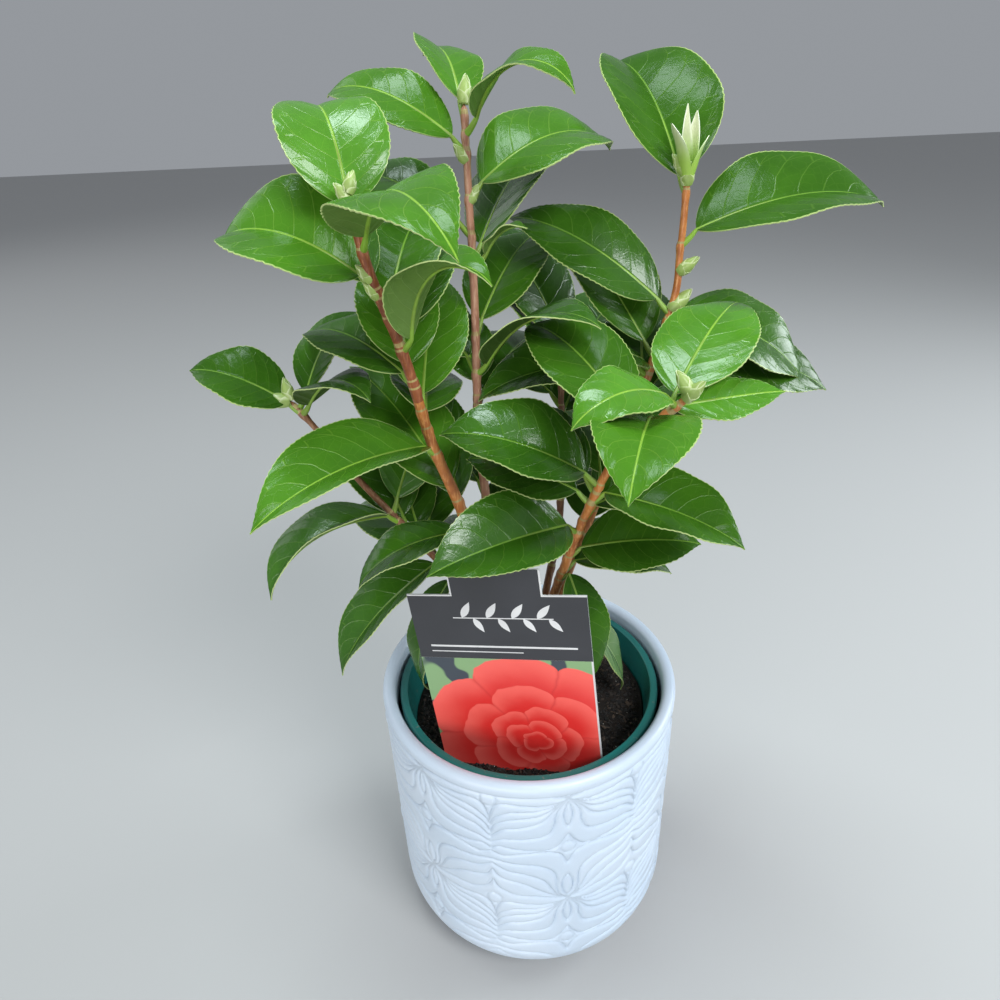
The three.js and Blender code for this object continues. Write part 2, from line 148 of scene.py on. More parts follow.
# Stems
TRUNK_TOP = 149
TRUNK_RADII = (4.6, 3.4)
FLARE_RADIUS = 7.5
FLARE_HEIGHT = 9
BOUGH_RADIUS = 2.5
SHOOT_TIP_RADIUS = 1.3
SPAN_STEPS = 40
STEM_SIDES = 18
STEM_ROW = 0.8
STEM_RELIEF = 0.05
NODE_SWELL = 0.5
SCAR_PITCH = 31.0
GOLDEN_TURN = 137.5
TRUNK_SIDES = 32
TRUNK_ROWS = 34
TRUNK_SEED = 17
STEM_SEED = 31
TRUNK_RELIEF = 0.32

# Leaves
WIDEST = 0.43
MARGIN_CURL = 0.15
ARCH_MIDDLE = 0.4
ARCH_POWER = 1.5
TIP_BEND = 10
TIP_FROM = 0.75
TIP_TAPER = 0.55
PETIOLE_LENGTH = 8
PETIOLE_RISE = 45
STALK_ROWS = 8
STALK_RADII = (1.45, 0.95)
RIB_ROWS = 22
RIB_RADII = (0.8, 0.2)
RIB_SINK = (0.1, 0.42)
LEAF_SEED = 700
BLADE_THICKNESS = 0.4
BLADE_ROW = 0.85
BLADE_COLUMNS = (0.09, 0.25, 0.45, 0.65, 0.82, 0.94, 1.0)
TOOTH_PITCH = 2.4
TOOTH_DEPTH = 0.6
VEIN_PAIRS = 8
VEIN_WIDTH = 0.0052
VEIN_SLANT = 0.15
VEIN_BEND = 0.10
VEIN_SHIFT = 0.45
NET_SHARE = 0.22
CRINKLE = 0.26
QUILT = 0.30
MARGIN_WAVE = 0.75

# The shoots, each with these values:
# path: the points that its stem passes through, from inside the short main stem to its tip.
# masses: the height at which each mass of foliage begins.
# girth: how thick the stem is, as a share of the usual.
# bark: the finish of the stem. peeled: the height below which the outer bark has split and shows orange.
# leaves: the height at which each leaf leaves the stem, its heading, rise, droop, roll and fold in degrees,
# its length and width, and its tone. Heading 0 is +X and 90 is +Y. Rise is the slope from the blade's base to
# its tip.
# behind: the places of the leaves on the far side, in turn to the left and right of a heading: the first and
# last height, how many, the heading and how far they swing from it.
# empty: the places of these, counted from 0, where another leaf or stem is in the way.
# seed: starts the small differences between these leaves.
# buds: the height, heading, rise and length of each bud.
# opening_bud: the height and length of the bud that opens at the tip.
SHOOTS = {
    "left": {
        "path": [(-1, 0, 138), (-14, -5, 200), (-28, -12, 256), (-37, -18, 290), (-43, -24, 326),
                 (-51, -32, 360), (-54, -35, 384)],
        "masses": {"left_low_foliage": 215, "left_middle_foliage": 292, "left_top_foliage": 345},
        "girth": 1.25,
        "bark": "red_bark",
        "peeled": 308,
        "leaves": [
            (374, 113, 32, 106, 0, 18, 56, 39, "young"),
            (366, 296, 3, 84, 12, 13, 82, 35, "bright"),
            (352, 166, 14, 77, -27, 27, 55, 51, "bright"),
            (342, 80, 24, 40, 0, 16, 52, 34, "deep"),
            (329, 318, 30, 118, 4, 29, 56, 29, "bright"),
            # Painted light: these two leaves lie in the crown's shade and have the bright tone to lift them
            (316, 104, 34, 30, 0, 16, 58, 34, "bright"),
            (303, 84, 32, 25, 0, 16, 66, 36, "bright"),
            (283, 228, 0, 41, -11, 34, 82, 42, "bright"),
            (258, 136, 34, 40, 0, 16, 76, 44, "bright"),
            (252, 102, 34, 30, -24, 16, 60, 28, "middle"),
            (236, 197, -20, 60, 0, 18, 54, 31, "middle"),
        ],
        "behind": (295, 349, 4, 115, 30),
        "empty": (),
        "seed": 197,
        "buds": [(384, 60, 60, 8), (381, 170, 55, 8), (356, 200, 50, 8), (350, 210, 50, 8)],
    },
    "side": {
        "path": [(-2, 0, 140), (-28, -1, 200), (-57, -2, 244), (-72, -2, 266), (-86, -2, 290),
                 (-95, -1, 303)],
        "masses": {"side_low_foliage": 195, "side_top_foliage": 262},
        "girth": 0.9,
        "bark": "brown_bark",
        "peeled": 0,
        "leaves": [
            (299, 53, 33, 62, -5, 21, 48, 28, "deep"),
            (297, 178, 21, 54, -24, 21, 42, 33, "deep"),
            (297, 320, 14, 90, 0, 14, 46, 28, "dark"),
            (243, 216, -17, 75, 11, 31, 66, 35, "middle"),
            (230, 110, 30, 30, 0, 16, 52, 30, "dark"),
            (215, 208, -40, 42, 2, 32, 70, 38, "middle"),
            (205, 205, -76, 60, 0, 16, 70, 28, "deep"),
        ],
        "behind": (209, 247, 5, 97, 25),
        "empty": (),
        "seed": 379,
        "buds": [(303, 190, 10, 12), (303, 120, 70, 10)],
    },
    "middle": {
        "path": [(0, 2, 149), (-9, 4, 190), (-16, 5, 240), (-18, 5, 290), (-17, 10, 338), (-17, 14, 382),
                 (-17, 16, 407)],
        "masses": {"middle_low_foliage": 232, "middle_top_foliage": 330},
        "girth": 1,
        "bark": "tan_bark",
        "peeled": 0,
        "leaves": [
            (403, 107, 18, 59, 15, 19, 57, 28, "bright"),
            (397, 321, 8, 119, 19, 17, 53, 22, "bright"),
            (391, 155, 15, 69, -29, 15, 60, 29, "bright"),
            (375, 27, 8, 78, 18, 16, 65, 48, "bright"),
            (362, 150, 15, 50, -20, 14, 60, 32, "middle"),
            (350, 340, 30, 80, 0, 20, 22, 14, "young"),
            (308, 328, 22, 85, 0, 16, 60, 36, "middle"),
            (298, 100, 25, 30, 0, 16, 44, 26, "middle"),
        ],
        "behind": (235, 353, 9, 95, 38),
        "empty": (3, 7),
        "seed": 384,
        "buds": [(407, 60, 75, 10), (388, 180, 55, 8), (374, 30, 55, 8)],
    },
    "right": {
        "path": [(3, 3, 144), (20, 7, 200), (42, 9, 265), (62, 10, 328), (65, 12, 353), (66, 14, 380)],
        "masses": {"right_low_foliage": 172, "right_middle_foliage": 256, "right_top_foliage": 340},
        "girth": 1,
        "bark": "orange_bark",
        "peeled": 0,
        "leaves": [
            (374, 108, 35, 53, -4, 31, 73, 54, "deep"),
            (355, 5, 4, 50, 21, 24, 79, 53, "deep"),
            (329, 151, 24, 50, -30, 17, 76, 36, "dark"),
            (326, 348, -30, 46, 23, 15, 60, 42, "middle"),
            (315, 351, -20, 29, 26, 10, 70, 40, "dark"),
            (311, 130, 39, 31, -13, 29, 67, 43, "deep"),
            (306, 215, 10, 50, -20, 16, 44, 30, "deep"),
            (303, 186, -8, 45, -15, 25, 70, 42, "dark"),
            (180, 350, -60, 50, 0, 16, 64, 30, "pale"),
        ],
        "behind": (213, 310, 9, 60, 22),
        "empty": (8,),
        "seed": 192,
        "buds": [(380, 150, 50, 10), (345, 340, 40, 10), (330, 10, 45, 12)],
        "opening_bud": (378.6, 27.5),
    },
    "front": {
        "path": [(2, -2, 141), (9, -10, 190), (18, -20, 231), (26, -28, 262), (32, -34, 281), (42, -42, 299),
                 (57, -49, 317)],
        "masses": {"front_low_foliage": 212, "front_middle_foliage": 250, "front_top_foliage": 297},
        "girth": 1.05,
        "bark": "orange_bark",
        "peeled": 0,
        "leaves": [
            (309, 53, 18, 42, 4, 9, 64, 38, "young"),
            (312, 210, -5, 86, -16, 14, 44, 27, "young"),
            (305, 3, 4, 10, 27, 11, 41, 21, "young"),
            (304, 251, -6, 66, -3, 19, 58, 37, "bright"),
            (264, 332, -12, 32, 8, 26, 58, 42, "deep"),
            (273, 171, 16, 43, -19, 25, 61, 45, "middle"),
            (263, 160, 10, 40, -20, 16, 50, 32, "dark"),
            (247, 210, 0, 31, -27, 33, 66, 44, "middle"),
            (232, 350, 5, 45, 30, 20, 52, 34, "deep"),
            (222, 8, -16, 50, 0, 16, 50, 32, "deep"),
            (218, 310, -77, 40, 0, 16, 60, 28, "deep"),
        ],
        "behind": (254, 313, 5, 74, 55),
        "empty": (4,),
        "seed": 75,
        "buds": [(317, 150, 55, 10), (315, 330, 50, 10)],
    },
    "back": {
        "path": [(2, 6, 146), (12, 18, 190), (19, 25, 227), (20, 28, 295), (26, 31, 318)],
        "masses": {"back_low_foliage": 212, "back_top_foliage": 268},
        "girth": 0.9,
        "bark": "brown_bark",
        "peeled": 0,
        "leaves": [
            (310, 130, 40, 40, 0, 16, 68, 44, "dark"),
        ],
        "behind": (234, 303, 8, 107, 40),
        "empty": (2, 3),
        "seed": 46,
        "buds": [(318, 60, 60, 11)],
    },
}

# What the leaves on the far side have in common
BEHIND_RISE = (-10, 30)
BEHIND_DROOP = 50
BEHIND_LENGTH = 64
BEHIND_SHAPE = 0.56
BEHIND_SWAY = 12
BEHIND_FOLD = 16
BEHIND_TONES = ("deep", "dark", "middle")

# Buds: their radius as a share of their length, and where each scale begins and ends
BUD_RADIUS = 0.26
BUD_SCALES = ((0.0, 0.34), (0.02, 0.44), (0.10, 0.60), (0.16, 0.72), (0.26, 0.86), (0.34, 0.96), (0.46, 1.0))

# The opening bud's long scales: the heading and the rise of each, and its share of the bud's length
SCALES = ((195, 69, 0.83), (118, 84, 1), (52, 81, 0.92), (345, 69, 0.66))
CUP_RADIUS = 3.3
CUP_FOOT_RADIUS = 1.4
SCALE_SPREAD = 92
SCALE_THICKNESS = 0.15
SCALE_ROWS = 14
SCALE_COLUMNS = 9

# Leaf tones: face, its deeper patches, veins. The tones differ partly as the real leaves do, young ones
# paler, and partly as painted light: some leaves that lie in shade inside the crown are given a brighter
# tone.
TONES = {
    "young": ((0.080, 0.255, 0.016), (0.066, 0.215, 0.013), (0.270, 0.500, 0.055)),
    "bright": ((0.064, 0.205, 0.012), (0.052, 0.170, 0.010), (0.240, 0.450, 0.050)),
    "middle": ((0.045, 0.152, 0.009), (0.035, 0.124, 0.008), (0.175, 0.360, 0.040)),
    "deep": ((0.040, 0.130, 0.008), (0.031, 0.104, 0.007), (0.150, 0.310, 0.036)),
    "dark": ((0.036, 0.120, 0.008), (0.028, 0.096, 0.007), (0.130, 0.280, 0.034)),
    "pale": ((0.150, 0.260, 0.090), (0.110, 0.210, 0.070), (0.300, 0.420, 0.190)),
}
LIGHT_TONES = ("young", "bright", "pale")
LEAF_RIM = (0.46, 0.60, 0.20)
# How strongly each tone mirrors, how rough the faces are and how clearly their veins show
GLOSS = {"young": 0.42, "bright": 0.19, "middle": 0.52, "deep": 0.12, "dark": 0.45, "pale": 0.2}
FACE_ROUGHNESS = 0.21
FACE_VEINS = 0.3
# The same for the undersides
UNDERSIDES = {
    "light_underside": ((0.135, 0.245, 0.050), (0.115, 0.215, 0.042), (0.25, 0.38, 0.11)),
    "dark_underside": ((0.075, 0.145, 0.028), (0.060, 0.120, 0.023), (0.17, 0.27, 0.08)),
}
UNDERSIDE_GLOSS = 0.3
UNDERSIDE_ROUGHNESS = 0.45
UNDERSIDE_VEINS = 0.4

# Barks: ground, patches, streaks
BARK_COLOURS = {
    "red_bark": ((0.300, 0.090, 0.036), (0.170, 0.046, 0.020), (0.470, 0.180, 0.080)),
    "orange_bark": ((0.560, 0.205, 0.052), (0.360, 0.112, 0.030), (0.700, 0.340, 0.120)),
    "tan_bark": ((0.460, 0.225, 0.140), (0.320, 0.140, 0.085), (0.560, 0.340, 0.220)),
    "brown_bark": ((0.260, 0.115, 0.055), (0.160, 0.070, 0.036), (0.380, 0.210, 0.110)),
    "node_ring": ((0.420, 0.330, 0.120), (0.300, 0.210, 0.085), (0.540, 0.470, 0.220)),
}

# Crumbs on the soil: ground, patches, roughness
CRUMBS = {
    "black_crumbs": ((0.009, 0.009, 0.009), (0.020, 0.018, 0.017), 0.5),
    "brown_crumbs": ((0.036, 0.026, 0.020), (0.022, 0.017, 0.014), 0.6),
    "bark_crumbs": ((0.100, 0.070, 0.050), (0.060, 0.044, 0.034), 0.75),
    "pale_specks": ((0.50, 0.49, 0.45), (0.36, 0.35, 0.32), 0.8),
}

# Lights: place, what each points at, its two sides, power and colour. Places are in metres.
LIGHTS = {
    "roof_window": ((-0.13, 0.10, 1.75), (0, 0, 0.3), (0.45, 0.70), 14, (0.84, 0.97, 1.0)),
    "front_window": ((0.62, -0.85, 1.25), (0, 0, 0.2), (0.62, 0.5), 14, (0.96, 0.98, 1.0)),
    "right_window": ((1.28, 0.30, 0.70), (0, 0, 0.25), (0.55, 0.6), 8, (0.90, 0.96, 1.0)),
    "back_window": ((-1.9, 1.3, 1.7), (0, 0, 0.25), (1.8, 1.5), 10, (0.96, 0.98, 1.0)),
    "front_fill": ((-0.75, -1.6, 0.45), (0, 0, 0.12), (1.3, 0.7), 13, (1.0, 0.97, 0.93)),
}
SKY_COLOUR = (0.88, 0.93, 1.0, 1)
SKY_STRENGTH = 0.34
FLOOR_COLOUR = (0.46, 0.46, 0.455, 1)
FLOOR_REACH = 6


# Placing and shaping

def unit(heading, rise):
    """A unit vector from a heading and a rise in degrees."""
    h = math.radians(heading)
    e = math.radians(rise)
    return np.array([math.cos(e) * math.cos(h), math.cos(e) * math.sin(h), math.sin(e)])


def unit_rows(vectors):
    """Each row of vectors, made one long."""
    return vectors / np.linalg.norm(vectors, axis=-1, keepdims=True)


def round_turn(count):
    """Angles all the way round, evenly."""
    return np.linspace(0, 2 * math.pi, count, endpoint=False)


def tube(rings):
    """Points and faces of a closed tube, from its rings of points."""
    rows, columns = rings.shape[:2]
    ring = np.arange(rows - 1)[:, None] * columns
    here = np.arange(columns)[None, :]
    after = (here + 1) % columns
    quads = np.stack([ring + here, ring + after, ring + columns + after, ring + columns + here], axis=-1)
    faces = quads.reshape(-1, 4).tolist()
    faces.append(list(range(columns - 1, -1, -1)))
    faces.append(list(range((rows - 1) * columns, rows * columns)))
    return rings.reshape(-1, 3), faces


def turned(profile, sides):
    """Rings of points of a turned shape about the Z axis, from [radius, height] pairs."""
    profile = np.array(profile, float)
    angle = round_turn(sides)
    rings = np.empty((len(profile), sides, 3))
    rings[..., 0] = profile[:, :1] * np.cos(angle)
    rings[..., 1] = profile[:, :1] * np.sin(angle)
    rings[..., 2] = profile[:, 1:]
    return rings


def arc(centre_radius, centre_height, radius, start, end, steps):
    """Points on a quarter circle about a centre, from one angle to another."""
    angles = np.radians(np.linspace(start, end, steps + 1))
    return [(centre_radius + radius * math.cos(a), centre_height + radius * math.sin(a)) for a in angles]


def evenly(profile, step):
    """The same profile with points no further apart than a step."""
    points = [profile[0]]
    for (r0, z0), (r1, z1) in zip(profile, profile[1:]):
        count = max(1, math.ceil(math.hypot(r1 - r0, z1 - z0) / step))
        for k in range(1, count + 1):
            points.append((r0 + (r1 - r0) * k / count, z0 + (z1 - z0) * k / count))
    return points


def make_piece(name, points, faces, finishes, chosen=None, maps=None, edge=50):
    """A mesh piece that rides on the part. chosen has each face's finish, and maps each point's UV places."""
    mesh = bpy.data.meshes.new(name)
    mesh.from_pydata((np.asarray(points) * MM).tolist(), [], faces)
    for finish in finishes:
        mesh.materials.append(finish)
    if chosen is not None:
        mesh.polygons.foreach_set("material_index", chosen)
    if maps:
        corner = np.empty(len(mesh.loops), int)
        mesh.loops.foreach_get("vertex_index", corner)
        for title, places in maps.items():
            layer = mesh.uv_layers.new(name=title)
            layer.data.foreach_set("uv", np.asarray(places, float)[corner].ravel())
    mesh.polygons.foreach_set("use_smooth", [True] * len(mesh.polygons))
    mesh.set_sharp_from_angle(angle=math.radians(edge))
    mesh.update()
    piece = bpy.data.objects.new(name, mesh)
    bpy.context.scene.collection.objects.link(piece)
    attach(piece, "root")
    return piece


class Parts:
    """Gathers closed meshes for one piece, with the finish of each face and two UV places of each point."""

    def __init__(self):
        self.points = []
        self.faces = []
        self.chosen = []
        self.blade = []
        self.size = []
        self.count = 0

    def add(self, points, faces, finish, blade=None, size=None):
        """finish is one number for all the faces, or one for each."""
        self.points.append(points)
        self.faces.extend([[k + self.count for k in face] for face in faces])
        self.chosen.extend([finish] * len(faces) if isinstance(finish, int) else finish)
        self.blade.append(np.zeros((len(points), 2)) if blade is None else blade)
        self.size.append(np.zeros((len(points), 2)) if size is None else size)
        self.count += len(points)

    def piece(self, name, finishes):
        maps = {"blade": np.vstack(self.blade), "size": np.vstack(self.size)}
        return make_piece(name, np.vstack(self.points), self.faces, finishes, self.chosen, maps)


# Node trees

def feed(tree, target, value):
    """Links a socket to an input, or sets the input's own value."""
    if isinstance(value, bpy.types.NodeSocket):
        tree.links.new(value, target)
    else:
        target.default_value = value


def calc(tree, operation, *values):
    """A Math node's result."""
    node = tree.nodes.new("ShaderNodeMath")
    node.operation = operation
    for target, value in zip(node.inputs, values):
        feed(tree, target, value)
    return node.outputs[0]


def ramp(tree, value, low, high, start=0.0, end=1.0):
    """A value that goes smoothly from start to end while the input goes from low to high."""
    node = tree.nodes.new("ShaderNodeMapRange")
    node.interpolation_type = "SMOOTHSTEP"
    for target, amount in zip(node.inputs, (value, low, high, start, end)):
        feed(tree, target, amount)
    return node.outputs[0]


def mixed(tree, factor, first, second):
    """A mix of two colours."""
    node = tree.nodes.new("ShaderNodeMix")
    node.data_type = "RGBA"
    feed(tree, node.inputs[0], factor)
    feed(tree, node.inputs[6], colour(first))
    feed(tree, node.inputs[7], colour(second))
    return node.outputs[2]


def colour(value):
    """A colour with its alpha, or a socket as it is."""
    return value if isinstance(value, bpy.types.NodeSocket) else (*value, 1.0)


def noise(tree, place, scale, detail=3.0, roughness=0.5):
    """A noise texture's value."""
    node = tree.nodes.new("ShaderNodeTexNoise")
    tree.links.new(place, node.inputs["Vector"])
    feed(tree, node.inputs["Scale"], scale)
    node.inputs["Detail"].default_value = detail
    node.inputs["Roughness"].default_value = roughness
    return node.outputs[0]


def object_place(tree):
    """Where a point of the piece is, in metres."""
    return tree.nodes.new("ShaderNodeTexCoord").outputs["Object"]


def map_place(tree, title):
    """Where a point is in one of the piece's UV maps."""
    node = tree.nodes.new("ShaderNodeUVMap")
    node.uv_map = title
    return node.outputs[0]


def split(tree, place):
    """The three values of a place."""
    node = tree.nodes.new("ShaderNodeSeparateXYZ")
    tree.links.new(place, node.inputs[0])
    return node.outputs


def new_group(name, inputs, outputs):
    """An empty shader node group. inputs: name to socket type and value. outputs: name to socket type."""
    tree = bpy.data.node_groups.new(name, "ShaderNodeTree")
    for title, (kind, value) in inputs.items():
        made = tree.interface.new_socket(name=title, in_out="INPUT", socket_type=kind)
        made.default_value = value
    for title, kind in outputs.items():
        tree.interface.new_socket(name=title, in_out="OUTPUT", socket_type=kind)
    return tree, tree.nodes.new("NodeGroupInput").outputs, tree.nodes.new("NodeGroupOutput").inputs


def placed(tree, group, **values):
    """A group placed in a material, with its own values."""
    node = tree.nodes.new("ShaderNodeGroup")
    node.node_tree = group
    for title, value in values.items():
        feed(tree, node.inputs[title.replace("_", " ")], value)
    return node.outputs


def new_finish(name, roughness, gloss=0.5):
    """A material with its Principled shader, whose even values are set on the shader itself."""
    finish = bpy.data.materials.new(name)
    finish.use_nodes = True
    shader = finish.node_tree.nodes["Principled BSDF"]
    shader.inputs["Roughness"].default_value = roughness
    shader.inputs["Specular IOR Level"].default_value = gloss
    return finish, finish.node_tree, shader.inputs


def add_bump(tree, shader, height, distance, strength):
    """Feeds a bump from a height to the shader's normal."""
    node = tree.nodes.new("ShaderNodeBump")
    node.inputs["Strength"].default_value = strength
    node.inputs["Distance"].default_value = distance
    tree.links.new(height, node.inputs["Height"])
    tree.links.new(node.outputs[0], shader["Normal"])


COLOUR = "NodeSocketColor"
NUMBER = "NodeSocketFloat"


def uneven_group():
    """A colour that drifts towards a second one in soft patches, with fine grain in its height."""
    tree, given, out = new_group("uneven_colour", {
        "Colour": (COLOUR, (0.5, 0.5, 0.5, 1)),
        "Patch Colour": (COLOUR, (0.4, 0.4, 0.4, 1)),
        "Patch Scale": (NUMBER, 40.0),
        "Grain Scale": (NUMBER, 1500.0),
    }, {"Colour": COLOUR, "Height": NUMBER})
    place = object_place(tree)
    patches = ramp(tree, noise(tree, place, given["Patch Scale"], 4.0), 0.35, 0.65)
    feed(tree, out["Colour"], mixed(tree, patches, given["Colour"], given["Patch Colour"]))
    feed(tree, out["Height"], noise(tree, place, given["Grain Scale"], 2.0))
    return tree


def veins_group():
    """The pattern of a leaf: its midrib, side veins that loop before the margin, fine net and rim."""
    tree, given, out = new_group("leaf_veins", {
        "Pairs": (NUMBER, VEIN_PAIRS),
        "Vein Width": (NUMBER, VEIN_WIDTH),
        "Net": (NUMBER, NET_SHARE),
        "Crinkle": (NUMBER, CRINKLE),
    }, {"Veins": NUMBER, "Midrib": NUMBER, "Rim": NUMBER, "Height": NUMBER})
    size = map_place(tree, "size")
    blade = split(tree, map_place(tree, "blade"))
    share = blade[0]
    from_middle = calc(tree, "SUBTRACT", calc(tree, "MULTIPLY", blade[1], 2.0), 1.0)
    across = calc(tree, "ABSOLUTE", from_middle)
    right_half = calc(tree, "GREATER_THAN", from_middle, 0.0)

    # Side veins leave the midrib at a slant and bend towards the tip; those of the two halves alternate
    drift = calc(tree, "MULTIPLY", calc(tree, "SUBTRACT", noise(tree, size, 1.1, 2.0), 0.5), 0.035)
    slant = calc(tree, "ADD", calc(tree, "MULTIPLY", across, VEIN_SLANT),
                 calc(tree, "MULTIPLY", calc(tree, "POWER", across, 3.0), VEIN_BEND))
    along = calc(tree, "ADD", calc(tree, "SUBTRACT", share, slant), drift)
    phase = calc(tree, "ADD", calc(tree, "MULTIPLY", along, given["Pairs"]),
                 calc(tree, "MULTIPLY", right_half, VEIN_SHIFT))
    turn = calc(tree, "FRACT", phase)
    nearest = calc(tree, "MINIMUM", turn, calc(tree, "SUBTRACT", 1.0, turn))
    apart = calc(tree, "DIVIDE", nearest, given["Pairs"])
    side = ramp(tree, apart, 0.0, given["Vein Width"], 1.0, 0.0)
    side = calc(tree, "MULTIPLY", side, ramp(tree, across, 0.80, 0.92, 1.0, 0.0))

    # The loops that join them, scalloped along the margin
    middle = calc(tree, "MULTIPLY", calc(tree, "SUBTRACT", nearest, 0.25), 0.36)
    loop_at = calc(tree, "ADD", 0.78, middle)
    loop = ramp(tree, calc(tree, "ABSOLUTE", calc(tree, "SUBTRACT", across, loop_at)), 0.0, 0.022, 1.0, 0.0)
    loop = calc(tree, "MULTIPLY", loop, 0.75)

    cells = tree.nodes.new("ShaderNodeTexVoronoi")
    cells.feature = "DISTANCE_TO_EDGE"
    cells.voronoi_dimensions = "2D"
    cells.inputs["Scale"].default_value = 2.3
    tree.links.new(size, cells.inputs["Vector"])
    net = calc(tree, "MULTIPLY", ramp(tree, cells.outputs["Distance"], 0.0, 0.06, 1.0, 0.0), given["Net"])

    veins = calc(tree, "MAXIMUM", calc(tree, "MAXIMUM", side, loop), net)
    # The rim, the midrib and the height of the quilted face between the veins
    rim = ramp(tree, across, 0.972, 0.990)
    veins = calc(tree, "MULTIPLY", veins, calc(tree, "SUBTRACT", 1.0, rim))
    off = calc(tree, "ABSOLUTE", split(tree, size)[0])
    rib_width = calc(tree, "MULTIPLY_ADD", share, -0.05, 0.085)
    midrib = ramp(tree, off, calc(tree, "MULTIPLY", rib_width, 0.35), rib_width, 1.0, 0.0)
    pillow = calc(tree, "MULTIPLY", ramp(tree, nearest, 0.0, 0.4), 0.5)
    height = calc(tree, "SUBTRACT", pillow, calc(tree, "MULTIPLY", veins, 0.35))
    height = calc(tree, "SUBTRACT", height, calc(tree, "MULTIPLY", midrib, 0.8))
    wrinkles = calc(tree, "MULTIPLY", noise(tree, size, 9.0, 3.0, 0.6), given["Crinkle"])
    height = calc(tree, "ADD", height, wrinkles)
    feed(tree, out["Veins"], veins)
    feed(tree, out["Midrib"], midrib)
    feed(tree, out["Rim"], rim)
    feed(tree, out["Height"], height)
    return tree


UNEVEN = uneven_group()
VEINS = veins_group()


def uneven(tree, ground, patch, patch_scale, grain_scale=1500.0):
    """The uneven group placed in a material, with its colours and the scales of its patches and grain."""
    return placed(tree, UNEVEN, Colour=colour(ground), Patch_Colour=colour(patch), Patch_Scale=patch_scale,
                  Grain_Scale=grain_scale)


def darker(tint, share):
    """A darker shade of a colour."""
    return tuple(share * value for value in tint)


# Finishes

def leaf_finish(name, face, patch, vein, roughness, gloss, vein_share):
    """A glossy leaf face, finely crinkled between its paler veins, with a thin pale rim."""
    finish, tree, shader = new_finish(name, roughness, gloss)
    ground = uneven(tree, face, patch, 55.0)
    lines = placed(tree, VEINS)
    tint = mixed(tree, calc(tree, "MULTIPLY", lines["Veins"], vein_share), ground["Colour"], vein)
    tint = mixed(tree, lines["Midrib"], tint, vein)
    tint = mixed(tree, calc(tree, "MULTIPLY", lines["Rim"], 0.85), tint, LEAF_RIM)
    feed(tree, shader["Base Color"], tint)
    add_bump(tree, shader, lines["Height"], 0.0003, 0.8)
    return finish


def stalk_finish():
    """Leaf stalks and midribs: smooth, light green, browner in patches."""
    finish, tree, shader = new_finish("leaf_stalk", 0.35)
    ground = uneven(tree, (0.23, 0.42, 0.045), (0.20, 0.31, 0.045), 120.0)
    feed(tree, shader["Base Color"], ground["Colour"])
    return finish


def bark_finish(name, ground, patch, streak):
    """Young bark: smooth, with a soft shine and fine streaks along the stem."""
    finish, tree, shader = new_finish(name, 0.42)
    stretch = tree.nodes.new("ShaderNodeMapping")
    stretch.inputs["Scale"].default_value = (1.0, 1.0, 0.12)
    tree.links.new(object_place(tree), stretch.inputs["Vector"])
    fibres = noise(tree, stretch.outputs[0], 1100.0, 4.0, 0.6)
    base = uneven(tree, ground, patch, 110.0)
    tint = mixed(tree, calc(tree, "MULTIPLY", ramp(tree, fibres, 0.48, 0.66), 0.8), base["Colour"], streak)
    feed(tree, shader["Base Color"], tint)
    add_bump(tree, shader, fibres, 0.00025, 0.6)
    return finish


def scale_finish(name, inner, rim, foot_colour, foot, top):
    """Bud scales: silky, paler towards their rims, and greener at the foot, between two heights in metres."""
    finish, tree, shader = new_finish(name, 0.38)
    from_middle = calc(tree, "MULTIPLY_ADD", split(tree, map_place(tree, "blade"))[1], 2.0, -1.0)
    across = calc(tree, "ABSOLUTE", from_middle)
    height = split(tree, object_place(tree))[2]
    ground = uneven(tree, inner, darker(inner, 0.8), 200.0)
    tint = mixed(tree, ramp(tree, across, 0.55, 1.0), ground["Colour"], rim)
    tint = mixed(tree, ramp(tree, height, foot, top, 1.0, 0.0), tint, foot_colour)
    feed(tree, shader["Base Color"], tint)
    return finish


def ceramic_finish():
    """Pale cool glaze, faintly mottled and satin, with painted shade that darkens it in the deeper parts of
    its grooves.
    """
    finish, tree, shader = new_finish("pale_glaze", 0.33)
    ground = uneven(tree, (0.63, 0.73, 0.85), (0.58, 0.69, 0.82), 18.0, 700.0)
    depth = split(tree, map_place(tree, "groove"))[0]
    painted_groove_shade = calc(tree, "MULTIPLY", ramp(tree, depth, 0.5, 1.0), 0.3)
    # Painted shade: the glaze turns towards a grey blue where the grooves sink deepest, in place of the shade
    # the grooves would cast
    feed(tree, shader["Base Color"], mixed(tree, painted_groove_shade, ground["Colour"], (0.32, 0.39, 0.46)))
    add_bump(tree, shader, ground["Height"], 0.00008, 0.5)
    return finish


def plastic_finish():
    """The grow pot's teal plastic, with dried specks of soil."""
    finish, tree, shader = new_finish("teal_plastic", 0.36)
    ground = uneven(tree, (0.011, 0.155, 0.140), (0.015, 0.180, 0.165), 35.0)
    dust = ramp(tree, noise(tree, object_place(tree), 420.0, 3.0), 0.66, 0.72)
    tint = mixed(tree, calc(tree, "MULTIPLY", dust, 0.6), ground["Colour"], (0.20, 0.21, 0.18))
    feed(tree, shader["Base Color"], tint)
    add_bump(tree, shader, ground["Height"], 0.0001, 0.4)
    return finish


def soil_finish(name, ground, patch, roughness):
    """Moist peat."""
    finish, tree, shader = new_finish(name, roughness, 0.4)
    base = uneven(tree, ground, patch, 260.0, 1800.0)
    feed(tree, shader["Base Color"], base["Colour"])
    add_bump(tree, shader, base["Height"], 0.0008, 0.8)
    return finish


